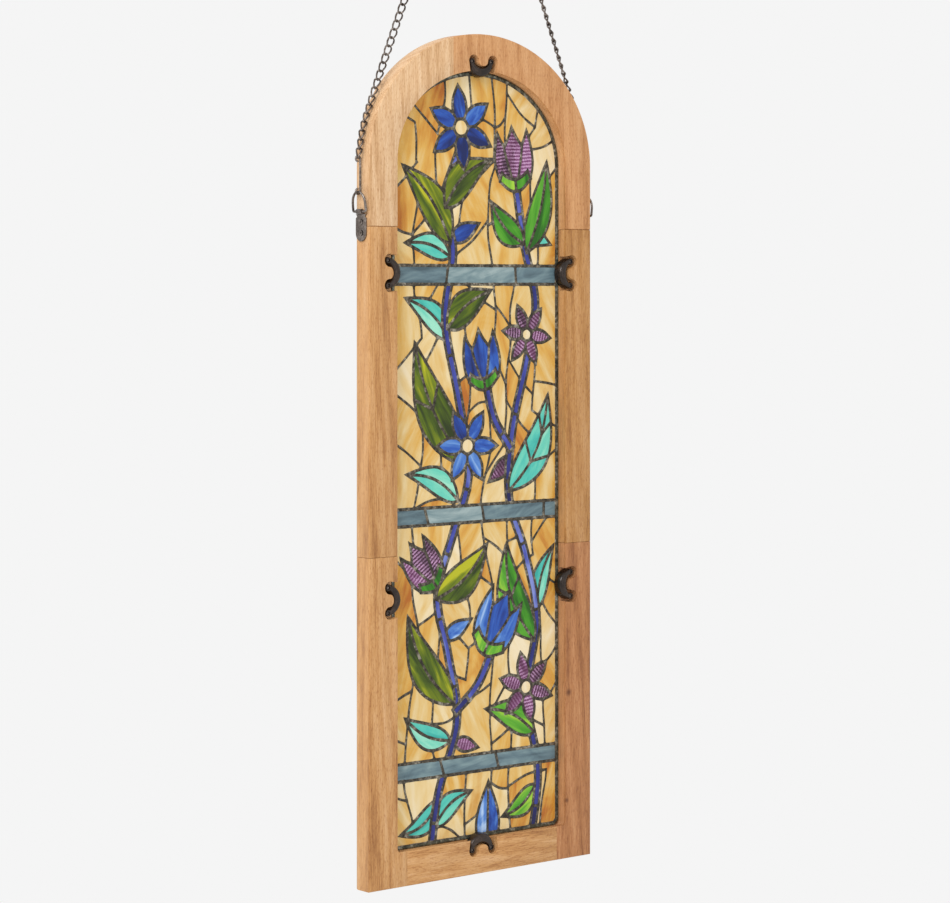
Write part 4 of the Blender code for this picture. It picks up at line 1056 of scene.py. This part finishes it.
def evened(places, pieces):
    """The pieces' loops again, each lead line read at even steps and shared by the glass on both sides."""
    near = {}
    for _, loops in pieces:
        for loop in loops:
            for a, b in zip(loop, loop[1:] + loop[:1]):
                near.setdefault(a, set()).add(b)
                near.setdefault(b, set()).add(a)
    knots = set()
    for v, others in near.items():
        if len(others) != 2:
            knots.add(v)
        else:
            a, b = others
            if (places[v] - places[a]).angle(places[b] - places[v], 0) > math.radians(38):
                knots.add(v)
    for _, loops in pieces:
        for loop in loops:
            if not knots.intersection(loop):
                knots.add(min(loop))
    points, spots, lines = [], {}, {}

    def spot(v):
        if v not in spots:
            spots[v] = len(points)
            points.append(places[v].copy())
        return spots[v]

    def read(run):
        if tuple(run) in lines:
            return lines[tuple(run)]
        if tuple(run[::-1]) in lines:
            return lines[tuple(run[::-1])][::-1]
        way = [places[v] for v in run]
        total = sum((b - a).length for a, b in zip(way, way[1:]))
        count = max(1, round(total / LINE_STEP))
        if run[0] == run[-1]:
            count = max(count, 6)
        fresh, k, walked = [], 0, 0.0
        for n in range(1, count):
            goal = total * n / count
            while walked + (way[k + 1] - way[k]).length < goal:
                walked += (way[k + 1] - way[k]).length
                k += 1
            fresh.append(way[k].lerp(way[k + 1], (goal - walked) / (way[k + 1] - way[k]).length))
        whole = [way[0]] + fresh + [way[-1]]
        for _ in range(2):
            between = [(a + b * 2 + c) / 4 for a, b, c in zip(whole, whole[1:], whole[2:])]
            whole = [whole[0]] + between + [whole[-1]]
        numbers = [spot(run[0])]
        for point in whole[1:-1]:
            numbers.append(len(points))
            points.append(point)
        numbers.append(spot(run[-1]))
        lines[tuple(run)] = numbers
        return numbers

    fresh_pieces = []
    for tag, loops in pieces:
        fresh_loops = []
        for loop in loops:
            start = next(k for k, v in enumerate(loop) if v in knots)
            around = loop[start:] + loop[:start] + [loop[start]]
            made, run = [], [around[0]]
            for v in around[1:]:
                run.append(v)
                if v in knots:
                    made += read(run)[:-1]
                    run = [v]
            fresh_loops.append(made)
        fresh_pieces.append((tag, fresh_loops))
    joints = {spots[v] for v, others in near.items() if len(others) > 2 and v in spots}
    return points, fresh_pieces, joints


def inward(loop):
    """For each point of a loop, the mitred step to its left, as long as the point's offset by 1."""
    steps = []
    for before, here, after in zip(loop[-1:] + loop[:-1], loop, loop[1:] + loop[:1]):
        first, second = (here - before).normalized(), (after - here).normalized()
        left, next_left = Vector((-first.y, first.x)), Vector((-second.y, second.x))
        share = 1 + left.dot(next_left)
        if share > 0.35:
            steps.append((left + next_left) / share)
        elif share > 0.02:
            steps.append((left + next_left).normalized() * 1.7)
        else:
            steps.append(left)
    return steps


def lead_net(points, pieces, joints):
    """The soldered net: ridges on both faces, a thin heart between the pieces, and the border came."""
    front_foot, front_rise = GLASS_FRONT - 0.00002, GLASS_FRONT - PANEL_FRONT - 0.0001
    back_foot, back_rise = GLASS_BACK + 0.00002, PANEL_BACK - GLASS_BACK - 0.0002
    heart, widest_alone = 0.00034, 0.004
    narrow, swing, more_at_joint, more_on_shape = 0.0012, 0.0007, 0.0003, 0.00035
    corners, faces, finishes = [], [], []
    rise = {}

    def lump(point, scale, seed):
        return 0.5 + 0.5 * noise.noise(Vector((point.x * scale, point.y * scale, seed)))

    def crown(v, back=False):
        key = (v, back)
        if key not in rise:
            wave = lump(points[v], 170, 3.1 if back else 0.4)
            height = 0.0008 * wave + (0.0 if v in joints else 0.00012)
            depth = PANEL_BACK - height if back else PANEL_FRONT - 0.00025 + height
            rise[key] = len(corners)
            corners.append((points[v].x, depth, points[v].y + SILL))
        return rise[key]

    def add(point, depth):
        corners.append((point.x, depth, point.y + SILL))
        return len(corners) - 1

    def strip(first, second, finish):
        count = len(first)
        for k in range(count):
            n = (k + 1) % count
            faces.append((first[k], first[n], second[n], second[k]))
            finishes.append(finish)

    half_edges = set()
    soldered = {v for tag, loops in pieces if tag for loop in loops for v in loop}
    for _, loops in pieces:
        for loop in loops:
            way = [points[v] for v in loop]
            steps = inward(way)
            count = len(way)
            widths = []
            for k, v in enumerate(loop):
                room = min((way[k] - way[j]).length for j in range(count)
                           if min((k - j) % count, (j - k) % count) > 2) if count > 5 else widest_alone
                width = narrow + swing * lump(way[k], 120, 8.2) + (more_at_joint if v in joints else 0)
                width += more_on_shape if v in soldered else 0
                widths.append(min(width, 0.62 * room))
            rows = [[crown(v) for v in loop]]
            for share, level in ((0.42, 0.78), (0.82, 0.36), (1.0, 0.0)):
                depth = front_foot - front_rise * level
                rows.append([add(p + s * w * share, depth) for p, s, w in zip(way, steps, widths)])
            for depth in (front_foot, back_foot):
                rows.append([add(p + s * heart, depth) for p, s in zip(way, steps)])
            for share, level in ((1.0, 0.0), (0.7, 0.6)):
                depth = back_foot + back_rise * level
                rows.append([add(p + s * w * share, depth) for p, s, w in zip(way, steps, widths)])
            rows.append([crown(v, True) for v in loop])
            for first, second in zip(rows, rows[1:]):
                strip(first, second, 0)
            half_edges.update(zip(loop, loop[1:] + loop[:1]))
    onward = {b: a for a, b in half_edges if (b, a) not in half_edges}
    start = min(onward)
    rim, here = [start], onward[start]
    while here != start:
        rim.append(here)
        here = onward[here]
    way = [points[v] for v in rim]
    steps = inward(way)
    rows = [[crown(v) for v in rim]]
    for share, depth in ((0.25, PANEL_FRONT + 0.0002), (0.8, PANEL_FRONT), (0.97, PANEL_FRONT + 0.0003),
                         (1.0, PANEL_FRONT + 0.0009), (1.0, PANEL_BACK - 0.0009), (0.9, PANEL_BACK)):
        rows.append([add(p + s * CAME_OUT * share, depth) for p, s in zip(way, steps)])
    rows.append([crown(v, True) for v in rim])
    for first, second in zip(rows, rows[1:]):
        strip(first, second, 1)
    net = piece_of("lead_net", corners, faces)
    net.data.materials.append(SOLDER)
    net.data.materials.append(CAME)
    net.data.polygons.foreach_set("material_index", finishes)
    smoothed(net, 70)
    return fitted(net, None, ["leadwork"])


def flow_of(shape, way, chance):
    """The direction of a piece's streaks."""
    flow = shape["flow"]
    middle = sum(way, Vector((0, 0))) / len(way)
    if flow is None:
        return math.pi / 2 + chance.uniform(-0.7, 0.7)
    if flow == "long":
        xx = sum((p.x - middle.x) ** 2 for p in way)
        yy = sum((p.y - middle.y) ** 2 for p in way)
        xy = sum((p.x - middle.x) * (p.y - middle.y) for p in way)
        return 0.5 * math.atan2(2 * xy, xx - yy)
    if isinstance(flow, Vector):
        return math.atan2(*(middle - flow).yx) + chance.uniform(-0.15, 0.15)
    return flow + chance.uniform(-0.12, 0.12)


def glass(points, pieces, shapes):
    """Each piece of glass as a sheet in its place, gathered by the CAD node that it lies in."""
    chance = random.Random(23)
    nodes = {name: thing for name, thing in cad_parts.items() if name.startswith("glass_")}
    trees = {}
    for name, thing in nodes.items():
        mesh = thing.data
        outlines = [p.vertices[:] for p in mesh.polygons]
        trees[name] = BVHTree.FromPolygons([v.co for v in mesh.vertices], outlines)
    inwards, cream_share, lead_gap = Vector((0, 1, 0)), 0.28, 0.00044
    gathered = {}
    for tag, loops in pieces:
        rings = []
        for loop in loops:
            way = [points[v] for v in loop]
            rings.append([p + s * lead_gap for p, s in zip(way, inward(way))])
        triangles = tessellate_polygon([[p.to_3d() for p in ring] for ring in rings])
        flat = [p for ring in rings for p in ring]
        triangles = sorted(triangles, key=lambda t: -abs(area([flat[k] for k in t])))
        owner = None
        for tri in triangles:
            spot = sum((flat[k] for k in tri), Vector((0, 0))) / 3
            aim = Vector((spot.x, -0.1, spot.y + SILL + FOOT))
            owner = next((name for name, tree in trees.items() if tree.ray_cast(aim, inwards)[0]), None)
            if owner:
                break
        if owner is None:
            spot = Vector((spot.x, 0, spot.y + SILL + FOOT))
            owner = min(trees, key=lambda name: trees[name].find_nearest(spot)[3])
        shape = shapes[tag]
        colour = shape["colour"]
        if tag == 0 and chance.random() < cream_share:
            colour = "cream"
        turn = flow_of(shape, rings[0], chance)
        tone, east, north = chance.random(), chance.uniform(0, 9), chance.uniform(0, 9)
        gathered.setdefault(owner, []).append((rings, flat, triangles, colour, turn, tone, east, north))
    empty = set(nodes) - set(gathered)
    if empty:
        print("no glass lies in", sorted(empty))
    for owner, sheets in gathered.items():
        corners, faces, finishes, tones, marks = [], [], [], [], []
        colours = sorted({sheet[3] for sheet in sheets})
        for rings, flat, triangles, colour, turn, tone, east, north in sheets:
            base, count = len(corners), len(flat)
            for depth in (GLASS_FRONT, GLASS_BACK):
                for p in flat:
                    corners.append((p.x, depth, p.y + SILL))
                    marks.append((p.x * math.cos(turn) + p.y * math.sin(turn) + east,
                                  p.y * math.cos(turn) - p.x * math.sin(turn) + north))
                    tones.append(tone)
            for tri in triangles:
                a, b, c = tri if area([flat[k] for k in tri]) > 0 else tri[::-1]
                faces.append((base + a, base + b, base + c))
                faces.append((base + count + c, base + count + b, base + count + a))
            start = 0
            for ring in rings:
                for k in range(len(ring)):
                    a, b = base + start + k, base + start + (k + 1) % len(ring)
                    faces.append((b, a, a + count, b + count))
                start += len(ring)
            finishes += [colours.index(colour)] * (len(faces) - len(finishes))
        piece = piece_of(owner + "_pieces", corners, faces)
        mesh = piece.data
        for colour in colours:
            mesh.materials.append(GLASS[colour])
        mesh.polygons.foreach_set("material_index", finishes)
        layer = mesh.uv_layers.new(name="streaks")
        for loop in mesh.loops:
            layer.data[loop.index].uv = marks[loop.vertex_index]
        mesh.attributes.new("tone", "FLOAT", "POINT").data.foreach_set("value", tones)
        fitted(piece, None, [owner])


def leaded_panel():
    picture = drawn()
    places, pieces = parted(picture)
    points, pieces, joints = evened(places, pieces)
    print("pieces of glass:", len(pieces), "line points:", len(points))
    lead_net(points, pieces, joints)
    glass(points, pieces, picture.shapes)


# Hangers, hooks, chains and the ring


def wire(name, path, diameter, cyclic=False):
    """Round wire along a path of points."""
    curve = bpy.data.curves.new(name, "CURVE")
    curve.dimensions = "3D"
    curve.bevel_depth = diameter / 2
    curve.bevel_resolution = 4
    curve.use_fill_caps = not cyclic
    spline = curve.splines.new("POLY")
    spline.points.add(len(path) - 1)
    for point, place in zip(spline.points, path):
        point.co = (*place, 1)
    spline.use_cyclic_u = cyclic
    grasped(set_out(name, curve))
    bpy.ops.object.convert(target="MESH")
    return facing_out(smoothed(bpy.context.object, 50))


def both_sides(piece, node, end="", name=None):
    """The piece on the right edge and its mirror image on the left one."""
    twin = copied(piece, "twin", Matrix.Scale(-1, 4, (1, 0, 0)))
    twin.data.flip_normals()
    for side, made in (("left", twin), ("right", piece)):
        made.name = f"{name or node}_{side}{end or '_detail'}"
        fitted(made, STEEL, [f"{node}_{side}{end}"])


def hangers():
    edge = FRAME_WIDTH / 2 + GAP
    thick = 0.0013
    length, width, tongue = 0.031, PLATE_WIDTH, 0.009
    fold = STEEL_WIRE / 2 + GAP + thick
    bar_x, bar_height = edge + fold, PLATE_FOOT + length + fold
    foot, top = PLATE_FOOT + width / 2, PLATE_FOOT + length
    plate = rod((edge + thick / 2, 0, foot), width / 2, thick, ALONG_X, 56)
    cut(plate, block((edge, -width / 2, foot), (edge + thick, width / 2, top)), "UNION")
    for side in (-1, 1):
        corner = block((edge - 0.001, 0, 0), (edge + 0.004, 0.02, 0.02))
        turn = Matrix.Rotation(-math.pi / 4 if side > 0 else math.pi * 0.75, 4, "X")
        corner.data.transform(Matrix.Translation((0, side * 0.0070, top - 0.0025)) @ turn)
        cut(plate, corner)
    heights = [foot + SCREW_PITCH * k for k in range(2)]
    for height in heights:
        cut(plate, rod((edge + thick / 2, 0, height), SCREW_BORE, 0.01, ALONG_X, 24))
        cut(plate, rod((edge + thick - 0.0004, 0, height), 0.0014, 0.0016, ALONG_X, 32, 0.0036))
    roll = rod((bar_x, 0, bar_height), fold, tongue, ALONG_Y, 40)
    cut(roll, rod((bar_x, 0, bar_height), fold - thick, tongue * 2, ALONG_Y, 40))
    strap = block((edge, -tongue / 2, top - 0.003), (edge + thick, tongue / 2, bar_height))
    cut(plate, strap, "UNION")
    cut(plate, roll, "UNION")
    facing_out(plate)
    softened(plate, 0.00022)
    both_sides(smoothed(plate, 40), "hanger_plate")
    for k, height in enumerate(heights, 1):
        head = rod((edge + thick - 0.0003, 0, height), 0.0017, 0.0016, ALONG_X, 32, 0.0033)
        softened(head, 0.0002, lambda ends: all(end.x < edge + thick for end in ends))
        cut(head, rod((edge - 0.0058, 0, height), 0.00145, 0.0136, ALONG_X, 16), "UNION")
        for turn in (0, math.pi / 2):
            recess = block((edge + thick - 0.0001, -0.0017, -0.0003), (edge + thick + 0.003, 0.0017, 0.0003))
            turned_by = Matrix.Rotation(turn + 0.5 * k, 4, "X")
            recess.data.transform(Matrix.Translation((0, 0, height)) @ turned_by)
            cut(head, recess)
        both_sides(smoothed(head, 40), "hanger_screw", f"_{k}", "screw")
    ring_width, ring_height = 0.026, 0.0255
    half, rise = (ring_width - STEEL_WIRE) / 2, ring_height - STEEL_WIRE
    shoulder = rise * 0.25
    lean = math.radians(6)
    turns = [math.pi * k / 28 for k in range(29)]
    path = [Vector((0, half * math.cos(t), shoulder + (rise - shoulder) * math.sin(t) ** 0.8)) for t in turns]
    path += [Vector((0, -half, y)) for y in (0.0030, 0.0012)] + [Vector((0, -half + 0.0006, 0.0003))]
    path += [Vector((0, -half + 0.0016, 0)), Vector((0, half - 0.0016, 0))]
    path += [Vector((0, half - 0.0006, 0.0003))] + [Vector((0, half, y)) for y in (0.0012, 0.0030)]
    ring = wire("d_ring", path, STEEL_WIRE, cyclic=True)
    ring.data.transform(Matrix.Translation((bar_x, 0, bar_height)) @ Matrix.Rotation(lean, 4, "Y"))
    both_sides(ring, "d_ring")
    return bar_x + rise * math.sin(lean), bar_height + rise * math.cos(lean)


def hooks(eye_x, apex):
    eye_size, length, seated = 0.0086, 0.046, 0.0007
    eye = (eye_size - HOOK_WIRE) / 2
    low = apex - (STEEL_WIRE + HOOK_WIRE) / 2 - GAP + eye
    high = low + length - eye_size
    open_end = math.radians(92)
    path = []
    for start, end, height in ((2 * math.pi + open_end, math.pi, low), (math.pi, -open_end, high)):
        for k in range(25):
            t = start + (end - start) * k / 24
            path.append(Vector((eye_x + eye * math.cos(t), 0, height + eye * math.sin(t))))
    both_sides(wire("hook", path, HOOK_WIRE), "chain_hook")
    return Vector((eye_x, high + eye - (HOOK_WIRE + LINK_WIRE) / 2 - 2 * GAP + seated))


def taut_path(start, end):
    """The chain's line: straight off the hook, round the arch, straight on to the ring."""
    steps = 240
    grip = 0.0036
    turns = [math.pi / 2 * k / steps for k in range(steps + 1)]
    half, rise = FRAME_WIDTH / 2 + grip, ARCH_RISE + grip
    bend = [Vector((half * math.cos(t), SPRING + rise * math.sin(t))) for t in turns]
    first = max((k for k in range(steps) if bend[k].y > start.y),
                key=lambda k: math.atan2((bend[k] - start).x, (bend[k] - start).y))
    last = max(range(steps), key=lambda k: math.atan2((bend[k] - end).x, (end - bend[k]).y))
    return [start] + bend[first:last + 1]


def at_length(path, length):
    for a, b in zip(path, path[1:]):
        run = (b - a).length
        if length <= run or b is path[-1]:
            return a.lerp(b, length / run), (b - a).normalized()
        length -= run


def curb_link():
    """One link of round wire, bent oval and twisted a quarter turn from end to end."""
    bend, wire_radius = 0.0037, 0.00112
    at_rest()
    bpy.ops.mesh.primitive_torus_add(major_segments=20, minor_segments=6, major_radius=bend,
                                     minor_radius=wire_radius, rotation=ALONG_X)
    link = settled(bpy.context.object, "link")
    half = PITCH / 2 + 0.0008
    stretch = half - bend
    for vertex in link.data.vertices:
        co = vertex.co
        co.z += math.copysign(stretch, co.z) * min(1, abs(co.z) / 0.0008)
        vertex.co = Matrix.Rotation(-math.radians(45) * co.z / half, 3, "Z") @ co
    return link


def chains(start):
    ring_height = -0.010 - FOOT
    grip, ring_wire, past_hold = 0.0115, 0.0015, 0.0024
    spread = math.radians(30)
    hold = Vector((grip * math.sin(spread), ring_height - grip * math.cos(spread)))
    wood = taut_path(start, hold)
    heading = (hold - wood[-1]).normalized()
    path = wood + [hold + heading * past_hold]
    on_wood = sum((b - a).length for a, b in zip(wood, wood[1:]))
    link = curb_link()
    links = []
    for k in range(LINKS):
        reach = (k + 0.5) * PITCH
        place, heading = at_length(path, reach)
        eased_in = min(1, max(0, reach - on_wood) / (8 * PITCH), (LINKS * PITCH - reach) / (6 * PITCH))
        roll = math.radians(45) * eased_in
        along = Vector((heading.x, 0, heading.y))
        outward = Vector((heading.y, 0, -heading.x)) * math.cos(roll) - Vector((0, math.sin(roll), 0))
        across = along.cross(outward)
        turn = Matrix((outward, across, along)).transposed().to_4x4()
        links.append(copied(link, "link", Matrix.Translation((place.x, 0, place.y)) @ turn))
    bpy.data.objects.remove(link, do_unlink=True)
    chain = joined("chain", links)
    both_sides(smoothed(chain, 80), "chain")
    at_rest()
    bpy.ops.mesh.primitive_torus_add(major_segments=72, minor_segments=18, major_radius=grip,
                                     minor_radius=ring_wire, rotation=ALONG_Y, location=(0, 0, ring_height))
    ring = smoothed(settled(bpy.context.object, "ring_detail"), 80)
    fitted(ring, STEEL, ["hanging_ring"])


# Studio


def area_light(name, place, aim, size, power):
    light = bpy.data.lights.new(name, "AREA")
    light.shape = "RECTANGLE"
    light.size, light.size_y = size
    light.energy = power
    lamp = set_out(name, light)
    lamp.location = place
    lamp.rotation_euler = (Vector(aim) - Vector(place)).to_track_quat("-Z", "Y").to_euler()


def studio():
    at_rest()
    bpy.ops.mesh.primitive_plane_add(size=5, location=(0, 0, FOOT - 0.9))
    floor = bpy.context.object
    floor.name = "studio_floor"
    paper = Finish("studio_paper", Roughness=0.95, Specular_IOR_Level=0.1)
    tooth = paper.add("TexNoise", Vector=paper.add("TexCoord").outputs["Object"], Scale=40.0)
    paper.paint("Base Color", paper.shades(tooth.outputs[0], [(0.3, "f2f2f2"), (0.7, "f5f5f5")]))
    floor.data.materials.append(paper.made)
    world = bpy.data.worlds.new("pale_studio")
    bpy.context.scene.world = world
    world.use_nodes = True
    grey = 0.913
    background = world.node_tree.nodes["Background"]
    background.inputs["Color"].default_value = (grey, grey, grey, 1)
    background.inputs["Strength"].default_value = 1.0
    middle = (0, 0, FOOT + 0.55)
    area_light("key_light", (-2.65, -1.25, FOOT + 2.5), middle, (1.4, 1.4), 60)
    area_light("fill_light", (0.4, -3.0, FOOT + 1.2), middle, (1.4, 2.0), 6)
    camera = set_out("camera", bpy.data.cameras.new("camera"))
    camera.location = (-2.143, -2.551, 0.692 + FOOT)
    camera.rotation_euler = Vector((0.643, 0.766, 0)).to_track_quat("-Z", "Y").to_euler()
    camera.data.sensor_width = 36
    camera.data.lens = 107.05
    camera.data.shift_y = -0.176
    camera.data.clip_end = 200
    bpy.context.scene.camera = camera
    bpy.context.scene.view_settings.view_transform = "Standard"


def main():
    frame_boards()
    clips()
    leaded_panel()
    chains(hooks(*hangers()))
    studio()
    at_rest()


main()
